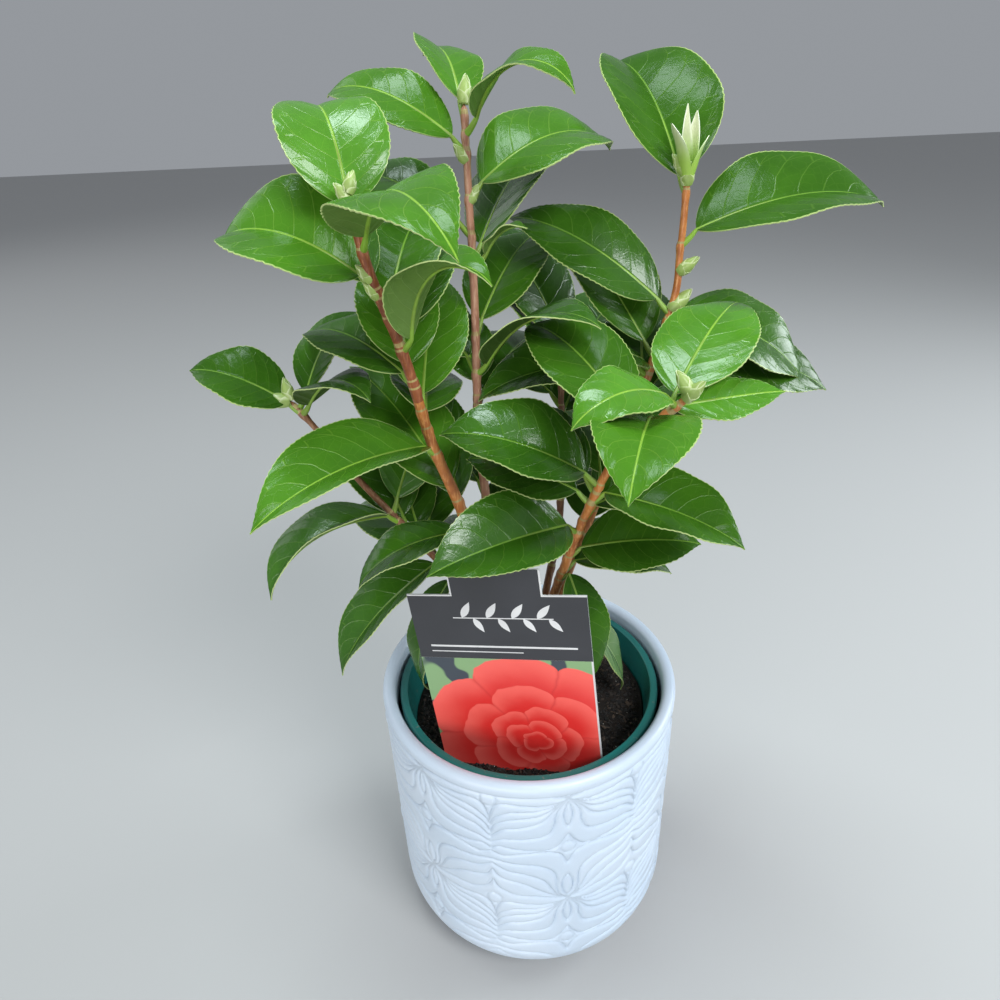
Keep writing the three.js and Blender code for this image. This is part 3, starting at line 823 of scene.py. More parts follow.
def plain_print(name, tint, roughness=0.35):
    """Printed plastic of one ink, a little uneven."""
    finish, tree, shader = new_finish(name, roughness)
    ground = uneven(tree, tint, darker(tint, 0.85), 30.0, 2500.0)
    feed(tree, shader["Base Color"], ground["Colour"])
    add_bump(tree, shader, ground["Height"], 0.00004, 0.3)
    return finish


# Rings of the printed rosette: radius, petals, turn, share of the radius that the petals notch
ROSETTE_RINGS = (
    (53.0, 7, 0.3, 0.12),
    (36.0, 6, 1.1, 0.17),
    (23.0, 5, 0.2, 0.20),
    (14.5, 4, 0.9, 0.22),
    (7.5, 3, 0.4, 0.24),
)


def rosette_finish():
    """The label's red panel: a plain rosette of overlapping petals."""
    finish, tree, shader = new_finish("red_panel", 0.33)
    size = map_place(tree, "size")
    bend = calc(tree, "MULTIPLY", calc(tree, "SUBTRACT", noise(tree, size, 0.07, 2.0), 0.5), 7.0)
    across, up, _ = split(tree, size)
    x = calc(tree, "ADD", across, bend)
    y = calc(tree, "SUBTRACT", up, bend)
    radius = calc(tree, "SQRT", calc(tree, "ADD", calc(tree, "MULTIPLY", x, x), calc(tree, "MULTIPLY", y, y)))
    angle = calc(tree, "ARCTAN2", y, x)
    leafy = ramp(tree, noise(tree, size, 0.055, 1.0), 0.46, 0.50)
    tint = mixed(tree, leafy, (0.050, 0.065, 0.085), (0.250, 0.420, 0.200))
    for reach, petals, turn, notch in ROSETTE_RINGS:
        wave = calc(tree, "COSINE", calc(tree, "MULTIPLY_ADD", angle, petals / 2, turn))
        wave = calc(tree, "POWER", calc(tree, "ABSOLUTE", wave), 0.55)
        edge = calc(tree, "MULTIPLY_ADD", wave, reach * notch, reach * (1 - notch))
        share = calc(tree, "DIVIDE", radius, edge)
        inside = ramp(tree, share, 0.985, 1.0, 1.0, 0.0)
        lit = ramp(tree, share, 0.62, 1.0)
        petal = mixed(tree, lit, (0.78, 0.032, 0.028), (0.95, 0.135, 0.110))
        crease = ramp(tree, wave, 0.0, 0.4, 0.55, 0.0)
        petal = mixed(tree, crease, petal, (0.64, 0.020, 0.022))
        tint = mixed(tree, inside, tint, petal)
    feed(tree, shader["Base Color"], tint)
    return finish


# Ceramic cover pot

def smooth_line(points, step):
    """Points evenly along a smooth curve through a line's points."""
    path = smooth_path([(x, y, 0) for x, y in points])[:, :2]
    run = np.concatenate([[0], np.cumsum(np.hypot(*np.diff(path, axis=0).T))])
    at = np.arange(0, run[-1], step)
    return np.column_stack([np.interp(at, run, path[:, k]) for k in (0, 1)])


def fan_pattern():
    """How far it is to the nearest groove of a fan, and the height of its bosses, on a fine grid.

    The grid goes from a star's column to the next column, and over a whole pitch."""
    grooves = np.vstack([smooth_line(line, PATTERN_STEP) for line in GROOVES])
    grooves = np.vstack([grooves + (0, shift) for shift in (-STAR_PITCH, 0, STAR_PITCH)])
    mirrored = np.vstack([grooves, grooves * (-1, 1), (2 * COLUMN_GAP, 0) + grooves * (-1, 1)])
    near = mirrored[(mirrored[:, 0] > -4) & (mirrored[:, 0] < COLUMN_GAP + 4)
                    & (np.abs(mirrored[:, 1]) < STAR_PITCH / 2 + 4)]
    lines = KDTree(len(near))
    for k, (x, y) in enumerate(near):
        lines.insert((x, y, 0), k)
    lines.balance()
    across = np.arange(0, COLUMN_GAP + PATTERN_STEP, PATTERN_STEP)
    up = np.arange(-STAR_PITCH / 2, STAR_PITCH / 2 + PATTERN_STEP, PATTERN_STEP)
    away = np.array([[lines.find((x, y, 0))[2] for y in up] for x in across])
    bosses = np.zeros(away.shape)
    for x, y, wide, tall in BOSSES:
        for shift in (0, STAR_PITCH):
            reach = np.hypot((across[:, None] - x) / wide, (up[None, :] - y - shift) / tall)
            away = np.minimum(away, np.abs(reach - 1) * tall + BOSS_RING)
            bosses += BOSS_HEIGHT * np.sqrt(np.clip(1 - reach ** 2, 0, None))
    return away, bosses


def ornament(angle, height):
    """How far the ornament sinks into the wall at each angle and height."""
    front = math.radians(-90)
    start = math.radians(COLUMN_AT)
    drift = COLUMN_DRIFT * (np.sin(angle - front) - math.sin(start - front))
    column = COLUMN_COUNT * (angle - start) / (2 * math.pi) + drift
    from_star = np.abs((column + 1) % 2 - 1) * COLUMN_GAP
    from_foot = (height - STAR_HEIGHT + STAR_PITCH / 2) % STAR_PITCH
    away, bosses = (between_places(pattern, from_star / PATTERN_STEP, from_foot / PATTERN_STEP)
                    for pattern in fan_pattern())
    below_band = height < ORNAMENT_TOP
    from_band = np.abs(height - ORNAMENT_TOP)
    away = np.where(below_band, np.minimum(away, from_band), from_band)
    sunk = GROOVE_DEPTH * np.exp(-((away / GROOVE_WIDTH) ** 2))
    sunk = sunk + PILLOW_DEPTH * np.exp(-((away / PILLOW_WIDTH) ** 2))
    return (sunk - bosses * below_band) * np.clip((height - ORNAMENT_FOOT) / 5, 0, 1)


def between_places(pattern, i, j):
    """A grid's value between its places."""
    i = np.clip(i, 0, pattern.shape[0] - 1.001)
    j = np.clip(j, 0, pattern.shape[1] - 1.001)
    i0, j0 = i.astype(int), j.astype(int)
    s, t = i - i0, j - j0
    return ((1 - s) * (1 - t) * pattern[i0, j0] + s * (1 - t) * pattern[i0 + 1, j0]
            + (1 - s) * t * pattern[i0, j0 + 1] + s * t * pattern[i0 + 1, j0 + 1])


def make_cover_pot():
    """The ceramic cover pot, a turned wall with its ornament sunk into the outside."""
    inner = POT_RADIUS - POT_WALL
    lip = POT_LIP_ROUNDING
    outside = evenly([
        *arc(POT_RADIUS - POT_FOOT_ROUNDING, POT_FOOT_ROUNDING, POT_FOOT_ROUNDING, -90, 0, 24),
        *arc(POT_RADIUS - lip, POT_HEIGHT - lip, lip, 0, 90, 6),
    ], POT_ROW)
    inside = evenly([
        *arc(inner + lip, POT_HEIGHT - lip, lip, 90, 180, 6),
        (inner, POT_FLOOR + POT_WALL),
        *arc(inner - POT_WALL, POT_FLOOR + POT_WALL, POT_WALL, 0, -90, 4),
        (2, POT_FLOOR),
    ], 12)
    rings = turned(outside + inside, POT_SIDES)
    angle = np.arctan2(rings[..., 1], rings[..., 0])
    height = rings[..., 2]
    radius = np.hypot(rings[..., 0], rings[..., 1])
    sunk = ornament(angle, height)
    sunk[len(outside):] = 0
    scale = (radius - sunk) / radius
    rings[..., 0] *= scale
    rings[..., 1] *= scale
    points, faces = tube(rings)
    # How deep each point of the wall sinks, as a share; the glaze's painted groove shade follows it
    groove = np.clip(sunk / (GROOVE_DEPTH + PILLOW_DEPTH), 0, 1).ravel()
    maps = {"groove": np.column_stack([groove, np.zeros(len(groove))])}
    pot = make_piece("glazed_cover_pot", points, faces, [ceramic_finish()], maps=maps, edge=70)
    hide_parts("ceramic_pot")


# Grow pot and soil

GROW_FLOOR = POT_FLOOR + GAP


def grow_radius(height):
    """Radius of the grow pot's outer wall at a height, below its rim."""
    wall_top = GROW_RIM_RADIUS - GROW_RIM_LIP
    share = (height - GROW_FLOOR) / (GROW_RIM_TOP - GROW_FLOOR)
    return GROW_FOOT_RADIUS + (wall_top - GROW_FOOT_RADIUS) * share


def make_grow_pot():
    """The green grow pot, a tapered tub with a rolled rim."""
    rim_foot = GROW_RIM_TOP - GROW_RIM_DEPTH
    mouth = grow_radius(GROW_RIM_TOP) - GROW_WALL
    profile = [
        (2, GROW_FLOOR),
        (GROW_FOOT_RADIUS - 2, GROW_FLOOR),
        (GROW_FOOT_RADIUS, GROW_FLOOR + 2),
        (grow_radius(rim_foot), rim_foot),
        *arc(GROW_RIM_RADIUS - 0.8, rim_foot + 0.8, 0.8, -90, 0, 3),
        *arc(GROW_RIM_RADIUS - 1.2, GROW_RIM_TOP - 1.2, 1.2, 0, 90, 5),
        *arc(mouth + 0.8, GROW_RIM_TOP - 0.8, 0.8, 90, 180, 4),
        (mouth - 0.6, GROW_RIM_TOP - 6),
        (mouth - 0.9, GROW_RIM_TOP - 7),
        (GROW_FOOT_RADIUS - GROW_WALL, GROW_FLOOR + GROW_WALL),
        (2, GROW_FLOOR + GROW_WALL),
    ]
    points, faces = tube(turned(evenly(profile, 6), GROW_SIDES))
    pot = make_piece("teal_grow_pot", points, faces, [plastic_finish()], edge=40)
    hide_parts("grow_pot")


def lumps(x, y):
    """A smooth uneven height made of a few waves."""
    chance = np.random.default_rng(LUMP_SEED)
    height = np.zeros(np.broadcast(x, y).shape)
    for size in LUMP_SIZES:
        for _ in range(4):
            heading = chance.uniform(0, 2 * math.pi)
            shift = chance.uniform(0, 2 * math.pi)
            wave = np.sin(2 * math.pi * (x * math.cos(heading) + y * math.sin(heading)) / size + shift)
            height = height + wave * (size / LUMP_SIZES[0]) ** 0.75
    return height / 5


def soil_height(x, y):
    """How high the soil lies: lumpy, and a little lower at the front and on the left."""
    return SOIL_TOP + SOIL_SLOPES[0] * x + SOIL_SLOPES[1] * y + SOIL_LUMPS * lumps(x, y)


def chip(chance, size, stretch):
    """A small angular lump: a stretched and jittered octahedron."""
    points = np.array([[1, 0, 0], [0, 1, 0], [-1, 0, 0], [0, -1, 0], [0, 0, 0.8], [0, 0, -0.8]], float)
    points *= chance.uniform(0.6, 1.2, (6, 1)) * size / 2
    points[:, 0] *= stretch
    spin = Matrix.Rotation(chance.uniform(0, 6.3), 3, "Z")
    turn = spin @ Matrix.Rotation(chance.uniform(-0.6, 0.6), 3, "Y")
    faces = [[0, 1, 4], [1, 2, 4], [2, 3, 4], [3, 0, 4], [1, 0, 5], [2, 1, 5], [3, 2, 5], [0, 3, 5]]
    return points @ np.array(turn).T, faces


def fibre(chance, length):
    """A thin bent root fibre."""
    bend = chance.uniform(-0.5, 0.5)
    turn = chance.uniform(0, 2 * math.pi)
    t = np.linspace(0, 1, 7)
    angle = turn + bend * 2 * t
    path = np.cumsum(np.stack([np.cos(angle), np.sin(angle), 0.25 * np.sin(3 * t)], axis=-1), axis=0)
    path *= length / 7
    ring = np.array([[0, -1, 0], [0, 0.6, 0.8], [0, 0.6, -0.8]]) * 0.22
    return path[:, None, :] + ring[None, :, :]


def soil_radius(height):
    """How far the soil reaches at a height, clear of the grow pot's wall."""
    return grow_radius(height) - GROW_WALL - 3 * GAP


def make_soil():
    """The body of the soil, with a lumpy top."""
    foot = GROW_FLOOR + GROW_WALL + GAP
    radii = np.linspace(soil_radius(SOIL_TOP), 1, SOIL_ROWS)
    rings = turned([(2, foot), (soil_radius(foot), foot), *[(r, SOIL_TOP) for r in radii]], SOIL_SIDES)
    top = rings[2:]
    top[..., 2] = soil_height(top[..., 0], top[..., 1]) - 0.4
    points, faces = tube(rings)
    peat = soil_finish("moist_peat", (0.010, 0.008, 0.007), (0.022, 0.015, 0.011), 0.85)
    ground = make_piece("peat", points, faces, [peat], edge=80)
    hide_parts("potting_soil")


def place_on_soil(chance, margin, least, lift):
    """A place on the soil, a margin in from its edge. least keeps the middle clear."""
    radius = (soil_radius(SOIL_TOP) - margin) * math.sqrt(chance.uniform(least, 1))
    angle = chance.uniform(0, 2 * math.pi)
    x = radius * math.cos(angle)
    y = radius * math.sin(angle)
    return x, y, float(soil_height(np.array(x), np.array(y))) + lift


def make_crumbs():
    """Chips, pale specks and root fibres that lie on the soil."""
    chance = np.random.default_rng(CRUMB_SEED)
    parts = Parts()
    for k in range(CHIP_COUNT + SPECK_COUNT):
        pale = k >= CHIP_COUNT
        size = chance.uniform(*(SPECK_SIZES if pale else CHIP_SIZES))
        points, faces = chip(chance, size, 1.0 if pale else chance.uniform(0.9, 2.2))
        place = place_on_soil(chance, 2, 0.012, -0.2)
        finish = 3 if pale else int(chance.choice(3, p=(0.55, 0.3, 0.15)))
        parts.add(points + place, faces, finish)
    for _ in range(FIBRE_COUNT):
        rings = fibre(chance, chance.uniform(*FIBRE_LENGTHS))
        points, faces = tube(rings + place_on_soil(chance, 12, 0, 0.5))
        parts.add(points, faces, 2)
    crumbs = parts.piece("peat_crumbs", [soil_finish(name, *look) for name, look in CRUMBS.items()])


# Label

def label_place():
    """Moves the label from its own plane, where it stands on the X axis, to where it is."""
    return (Matrix.Translation(LABEL_FOOT) @ Matrix.Rotation(math.radians(LABEL_YAW), 4, "Z")
            @ Matrix.Rotation(math.radians(-LABEL_LEAN), 4, "Y") @ Matrix.Rotation(math.radians(90), 4, "X"))


def placed_points(points, place):
    """Points moved by a matrix."""
    matrix = np.array(place)
    return points @ matrix[:3, :3].T + matrix[:3, 3]


def slab(outline, low, high):
    """Points and faces of a flat sheet between two depths, from its outline in order."""
    count = len(outline)
    flat = np.array(outline, float)
    points = np.vstack([np.column_stack([flat, np.full(count, depth)]) for depth in (low, high)])
    faces = [list(range(count - 1, -1, -1)), list(range(count, 2 * count))]
    faces += [[k, (k + 1) % count, count + (k + 1) % count, count + k] for k in range(count)]
    return points, faces


def box_outline(left, right, low, high):
    """The corners of a rectangle, in order."""
    return [(left, low), (right, low), (right, high), (left, high)]


def leaf_outline(foot, heading, length, width):
    """The outline of a small printed leaf."""
    turn = math.radians(heading)
    outline = []
    for side in (1, -1):
        shares = np.linspace(0, 1, 9) if side > 0 else np.linspace(1, 0, 9)[1:-1]
        for t in shares:
            off = side * width / 2 * math.sin(math.pi * t ** 0.8)
            outline.append((foot[0] + t * length * math.cos(turn) - off * math.sin(turn),
                            foot[1] + t * length * math.sin(turn) + off * math.cos(turn)))
    return outline


def make_label():
    """The plant label: a card on a spike, with a generic print."""
    half = LABEL_WIDTH / 2
    tab_left = LABEL_TAB_LEFT - half
    tab_right = tab_left + LABEL_TAB_WIDTH
    tab_top = LABEL_SHOULDER + LABEL_TAB_HEIGHT
    spike = LABEL_SPIKE_WIDTH / 2
    face = LABEL_THICKNESS / 2
    card = (-face, face - LABEL_SKIN)
    skin = (face - LABEL_SKIN, face)
    ink = (face, face + LABEL_INK)
    place = label_place()
    body = Parts()

    def lay(outline, depths, finish):
        points, faces = slab(outline, *depths)
        body.add(placed_points(points, place), faces, finish, size=points[:, :2] - ROSETTE_MIDDLE)

    def head(left, right, foot, shoulder):
        """The outline of the card's head, with its tab, from the foot of its sides up."""
        return [(-half, foot), (half, foot), (half, shoulder), (right, shoulder), (right, tab_top),
                (left, tab_top), (left, shoulder), (-half, shoulder)]

    # The card itself, white on its edges, with a dark skin on its head and the rosette below
    spike_outline = [(-spike, 0), (-spike, -LABEL_SPIKE_DEPTH), (spike, -LABEL_SPIKE_DEPTH), (spike, 0)]
    whole = head(tab_left, tab_right, 0, LABEL_SHOULDER)
    lay([whole[0], *spike_outline, *whole[1:]], card, 0)
    border = LABEL_BORDER
    lay(head(tab_left + border, tab_right - border, LABEL_PANEL_TOP, LABEL_SHOULDER - border), skin, 1)
    lay(box_outline(-half, half - 0.8, 0.2, LABEL_PANEL_TOP - 0.15), skin, 2)

    # The pale print on the head
    lay(box_outline(*SPRIG), ink, 0)
    for k in range(SPRIG_PAIRS):
        lay(leaf_outline((SPRIG[0] + 4 + SPRIG_PITCH * k, SPRIG[3] - 0.1), 62 - 4 * k, 9.5, 3.4), ink, 0)
        lay(leaf_outline((SPRIG[0] + 9 + SPRIG_PITCH * k, SPRIG[2] + 0.1), -62 + 4 * k, 8.5, 3.0), ink, 0)
    for foot, top, left, right in RULES:
        lay(box_outline(-half + left, half - right, foot, top), ink, 0)
    label = body.piece("card_label", [
        plain_print("label_white", (0.78, 0.79, 0.80)),
        plain_print("label_charcoal", (0.040, 0.042, 0.050)),
        rosette_finish(),
    ])
    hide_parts("plant_label")


# Stems

def smooth_path(path):
    """Points along a smooth curve through the path's points, evenly many to each span."""
    given = np.array(path, float)
    ends = np.vstack([2 * given[0] - given[1], given, 2 * given[-1] - given[-2]])
    t = np.linspace(0, 1, SPAN_STEPS, endpoint=False)[:, None]
    spans = []
    for before, here, there, after in zip(ends, ends[1:], ends[2:], ends[3:]):
        start = 0.5 * (there - before)
        end = 0.5 * (after - here)
        square = 3 * (there - here) - 2 * start - end
        cube = 2 * (here - there) + start + end
        spans.append(here + start * t + square * t ** 2 + cube * t ** 3)
    return np.vstack([*spans, given[-1:]])


def point_at(points, height):
    """The point, or points, of a rising path at a height."""
    return np.stack([np.interp(height, points[:, 2], points[:, k]) for k in range(3)], axis=-1)


def stem_rings(points, heights, radii, sides):
    """Rings of points round a rising path. radii has one radius for each ring and side."""
    centre = point_at(points, heights)
    axis = unit_rows(point_at(points, heights + 1) - point_at(points, heights - 1) + (0, 0, 1e-6))
    side = unit_rows(np.cross(np.broadcast_to((0, -1, 0), axis.shape), axis))
    front = np.cross(axis, side)
    angle = round_turn(sides)[None, :, None]
    out = -np.cos(angle) * side[:, None, :] - np.sin(angle) * front[:, None, :]
    return centre[:, None, :] + out * radii[..., None]


def bark_relief(heights, sides, seed, depth):
    """Shallow furrows that run along a stem, wandering a little."""
    chance = np.random.default_rng(seed)
    angle = round_turn(sides)[None, :]
    h = heights[:, None]
    relief = np.zeros((len(heights), sides))
    for count in (3, 5, 8, 11):
        shift = chance.uniform(0, 6.3)
        wander = np.sin(h / chance.uniform(7, 15) + chance.uniform(0, 6.3))
        fade = 0.5 + 0.5 * np.sin(h / chance.uniform(3, 6) + chance.uniform(0, 6.3) + angle)
        relief += np.sin(count * angle + 1.3 * wander + shift) * fade / count ** 0.4
    return depth * relief / 1.8


def shoot_radius(points, heights, girth):
    """A shoot's stem tapers evenly from the fork to its tip."""
    share = (heights - points[0, 2]) / (points[-1, 2] - points[0, 2])
    return girth * (BOUGH_RADIUS + (SHOOT_TIP_RADIUS - BOUGH_RADIUS) * share)


def make_stem(name, shoot, points, leaves, number):
    """A shoot's stem, which swells under each leaf and each old scar, with a pale ring above the swelling."""
    foot, tip = points[0, 2], points[-1, 2]
    heights = np.linspace(foot, tip, int((tip - foot) / STEM_ROW))
    radii = shoot_radius(points, heights, shoot["girth"])[:, None]
    radii = radii + bark_relief(heights, STEM_SIDES, STEM_SEED + number, STEM_RELIEF)
    angle = round_turn(STEM_SIDES)[None, :]
    bare = np.arange(foot + 22, min(leaf[0] for leaf in leaves) - 6, SCAR_PITCH)
    scars = [(height, GOLDEN_TURN * k) for k, height in enumerate(bare)]
    rows = np.where(heights < shoot["peeled"], 1, 0)
    for height, heading in [leaf[:2] for leaf in leaves] + scars:
        facing = 0.5 + 0.5 * np.cos(angle + math.radians(heading) - math.pi)
        radii = radii + NODE_SWELL * facing * np.exp(-(((heights - height + 0.4) / 2.0) ** 2))[:, None]
        radii = radii - 0.12 * np.exp(-(((heights - height - 2.2) / 0.6) ** 2))[:, None]
        rows[np.abs(heights - height - 1.2) < 0.5] = 2
    last = np.clip((tip - heights) / 1.5, 0.15, 1)[:, None]
    surface, faces = tube(stem_rings(points, heights, radii * last, STEM_SIDES))
    chosen = np.repeat(rows[:-1], STEM_SIDES).tolist() + [int(rows[0]), int(rows[-1])]
    finishes = [BARKS[shoot["bark"]], BARKS["orange_bark"], BARKS["node_ring"]]
    stem = make_piece(f"{name}_stem", surface, faces, finishes, chosen, edge=80)
    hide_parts(f"{name}_bough")


def make_trunk():
    """The short main stem, with a flared foot on the soil."""
    points = smooth_path([(0, 0, SOIL_TOP), (0.5, 1, 138), (0, 2, TRUNK_TOP)])
    foot = SOIL_TOP + GAP
    heights = np.linspace(foot, TRUNK_TOP, TRUNK_ROWS)
    share = (heights - foot) / (TRUNK_TOP - foot)
    flare = np.clip(1 - (heights - foot) / FLARE_HEIGHT, 0, None) ** 2
    plain = TRUNK_RADII[0] + (TRUNK_RADII[1] - TRUNK_RADII[0]) * share
    radii = (plain + (FLARE_RADIUS - TRUNK_RADII[0]) * flare)[:, None]
    radii = radii + bark_relief(heights, TRUNK_SIDES, TRUNK_SEED, TRUNK_RELIEF)
    radii = radii * (1 + 0.14 * flare[:, None] * np.sin(4 * round_turn(TRUNK_SIDES) + 0.6))
    surface, faces = tube(stem_rings(points, heights, radii, TRUNK_SIDES))
    trunk = make_piece("main_stem_bark", surface, faces, [BARKS["brown_bark"]], edge=80)
    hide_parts("main_stem")


# Leaves

def half_width(share, width):
    """Half of a blade's width at a share of its length."""
    rising = (share / WIDEST) ** 0.72
    falling = ((1 - share) / (1 - WIDEST)) ** 0.95
    return (width / 2) * rising * falling * (1 - TIP_TAPER * share ** 12)


def blade_axes(heading, rise, roll):
    """The directions of a blade: along it, up from its face and across it."""
    along = unit(heading, rise)
    up = unit(heading, rise + 90)
    across = np.array([math.sin(math.radians(heading)), -math.cos(math.radians(heading)), 0])
    c = math.cos(math.radians(roll))
    s = math.sin(math.radians(roll))
    return along, c * up + s * across, c * across - s * up


def arch(share, droop):
    """The blade's slope against its chord at a share of its length. The tip bends down a little more."""
    tip = np.clip((share - TIP_FROM) / (1 - TIP_FROM), 0, 1) ** 2
    return math.radians(droop) * (ARCH_MIDDLE - share ** ARCH_POWER) - math.radians(TIP_BEND) * tip


def midrib(root, leaf, steps):
    """Shares of a leaf's length, the points of its midrib there, and the blade's up and cross directions."""
    heading, rise, droop, roll, _, length = leaf[1:7]
    along, up, across = blade_axes(heading, rise, roll)
    share = np.linspace(0, 1, steps + 1)
    between = arch((share[1:] + share[:-1]) / 2, droop)[:, None]
    moves = (np.cos(between) * along + np.sin(between) * up) * length / steps
    start = root + PETIOLE_LENGTH * unit(heading, PETIOLE_RISE)
    centre = start + np.vstack([np.zeros(3), np.cumsum(moves, axis=0)])
    slope = arch(share, droop)[:, None]
    tangent = np.cos(slope) * along + np.sin(slope) * up
    return share, centre, np.cross(across, tangent), across


def teeth(share, length):
    """How far the margin steps in between its fine forward-pointing teeth."""
    turn = (share * length / TOOTH_PITCH) % 1
    cut = np.where(turn < 0.72, turn / 0.72, (1 - turn) / 0.28)
    quiet = np.clip((share - 0.1) / 0.15, 0, 1) * np.clip((1 - share) / 0.08, 0, 1)
    return TOOTH_DEPTH * (1 - cut) * quiet


def add_blade(parts, root, leaf, number):
    """A leaf's blade: a closed sheet, folded, arched, quilted between its veins and toothed at its rim."""
    fold, length, width, tone = leaf[5:]
    chance = np.random.default_rng(LEAF_SEED + number)
    steps = int(length / BLADE_ROW)
    share, centre, normal, across = midrib(root, leaf, steps)
    half = np.maximum(half_width(share, width), 0.12)
    x = np.array([*[-c for c in reversed(BLADE_COLUMNS)], 0.0, *BLADE_COLUMNS])
    reach = np.abs(x)[None, :]
    rim = np.clip((reach - 0.8) / 0.2, 0, 1)
    out = np.sign(x)[None, :] * (reach * half[:, None] - rim * teeth(share, length)[:, None])
    lift = half[:, None] * (reach * math.sin(math.radians(fold)) - MARGIN_CURL * reach ** 2.2)
    slanted = share[:, None] - VEIN_SLANT * reach - VEIN_BEND * reach ** 3
    phase = VEIN_PAIRS * slanted + VEIN_SHIFT * (x > 0)[None, :]
    full = np.sin(math.pi * np.clip(reach, 0, 1)) * np.clip(share * 8, 0, 1)[:, None]
    lift = lift + QUILT * full * (np.abs(np.sin(math.pi * phase)) - 0.5)
    wave_count = chance.uniform(1.6, 2.6)
    wave_shift = chance.uniform(0, 6.3) + np.where(x > 0, chance.uniform(1, 4), 0)[None, :]
    wave = np.sin(2 * math.pi * wave_count * share[:, None] + wave_shift)
    lift = lift + MARGIN_WAVE * reach ** 2.5 * np.sin(math.pi * share)[:, None] * wave
    sweep = chance.uniform(-1.2, 1.2) * share ** 2
    base = centre[:, None, :] + across * (out * math.cos(math.radians(fold)) + sweep[:, None])[..., None]
    face = base + normal[:, None, :] * (lift + BLADE_THICKNESS / 2)[..., None]
    under = base + normal[:, None, :] * (lift - BLADE_THICKNESS / 2)[..., None]
    rings = np.concatenate([face[:, ::-1], under], axis=1)
    points, faces = tube(rings)
    columns = len(x)
    kinds = [TONE_NUMBERS[tone]] * (columns - 1) + [RIM] + [UNDERSIDE[tone]] * (columns - 1) + [RIM]
    finish = kinds * steps + [STALK, STALK]
    spread = np.concatenate([x[::-1], x])
    blade = np.stack(np.broadcast_arrays(share[:, None], 0.5 + 0.5 * spread[None, :]), axis=-1)
    sizes = np.concatenate([out[:, ::-1], out], axis=1) / 10
    size = np.stack(np.broadcast_arrays(sizes, share[:, None] * length / 10 + 13.0 * number), axis=-1)
    parts.add(points, faces, finish, blade.reshape(-1, 2), size.reshape(-1, 2))


def add_stalk(parts, root, leaf):
    """A leaf's stalk, which runs on under the blade as its raised midrib."""
    _, centre, normal, across = midrib(root, leaf, RIB_ROWS + 2)
    way = unit(leaf[1], PETIOLE_RISE)
    t = np.linspace(0, 1, STALK_ROWS, endpoint=False)[:, None]
    foot = root + 0.6 * way
    elbow = root + 0.62 * PETIOLE_LENGTH * way + (0, 0, -0.9)
    stalk = (1 - t) ** 2 * foot + 2 * t * (1 - t) * elbow + t ** 2 * centre[0]
    under = centre[:RIB_ROWS] - normal[:RIB_ROWS] * np.linspace(*RIB_SINK, RIB_ROWS)[:, None]
    path = np.vstack([stalk, under])
    along = unit_rows(np.gradient(path, axis=0))
    up = unit_rows(np.cross(across, along))
    radii = np.concatenate([np.linspace(*STALK_RADII, STALK_ROWS), np.linspace(*RIB_RADII, RIB_ROWS)])
    angle = round_turn(10)[None, :, None]
    out = np.cos(angle) * across + np.sin(angle) * up[:, None, :]
    points, faces = tube(path[:, None, :] + radii[:, None, None] * out)
    parts.add(points, faces, STALK)


def sway_from(seed):
    """A seeded run of numbers between -1 and 1."""
    state = seed
    while True:
        state = (state * 16807) % 2147483647
        yield 2 * state / 2147483647 - 1


def leaves_behind(shoot):
    """The leaves on the far side of a shoot, in turn to the left and right of a heading."""
    first, last, count, heading, swing = shoot["behind"]
    sway = sway_from(shoot["seed"])
    leaves = []
    for k in range(count):
        share = k / (count - 1)
        side = swing if k % 2 else -swing
        rise = BEHIND_RISE[0] + (BEHIND_RISE[1] - BEHIND_RISE[0]) * share
        length = BEHIND_LENGTH + 6 * next(sway)
        leaf = (first + (last - first) * share, heading + side + BEHIND_SWAY * next(sway),
                rise + 6 * next(sway), BEHIND_DROOP + BEHIND_SWAY * next(sway), BEHIND_SWAY * next(sway),
                BEHIND_FOLD, length, length * BEHIND_SHAPE, BEHIND_TONES[(k + shoot["seed"]) % 3])
        if k not in shoot["empty"]:
            leaves.append(leaf)
    return leaves


# Buds

def round_axis(axis):
    """Two directions across an axis, from which the turns round it are counted."""
    first = unit_rows(np.cross(axis, (0.31, 0.2, 1.0)))
    return first, np.cross(axis, first)


def scale(foot, axis, turn, low, high, radius_at, spread, point):
    """A scale wrapped round an axis, from one place along it to another.

    radius_at gives how far it stands from the axis, spread is half of the angle that it covers, and point is
    how sharply it ends."""
    first, other = round_axis(axis)
    t = np.linspace(0, 1, SCALE_ROWS)
    u = np.linspace(-1, 1, SCALE_COLUMNS)
    along = low + (high - low) * t
    radius = radius_at(along)[:, None]
    half = math.radians(spread) * np.clip(1 - t ** point, 0.02, 1) ** 0.9
    angle = math.radians(turn) + half[:, None] * u[None, :]
    out = np.cos(angle)[..., None] * first + np.sin(angle)[..., None] * other
    sheet = foot + axis * along[:, None, None] + out * radius[..., None]
    rings = np.concatenate([(sheet + out * SCALE_THICKNESS)[:, ::-1], sheet - out * SCALE_THICKNESS], axis=1)
    points, faces = tube(rings)
    across = 0.5 + 0.5 * np.concatenate([u[::-1], u])
    blade = np.stack(np.broadcast_arrays(t[:, None], across[None, :]), axis=-1)
    return points, faces, blade.reshape(-1, 2)


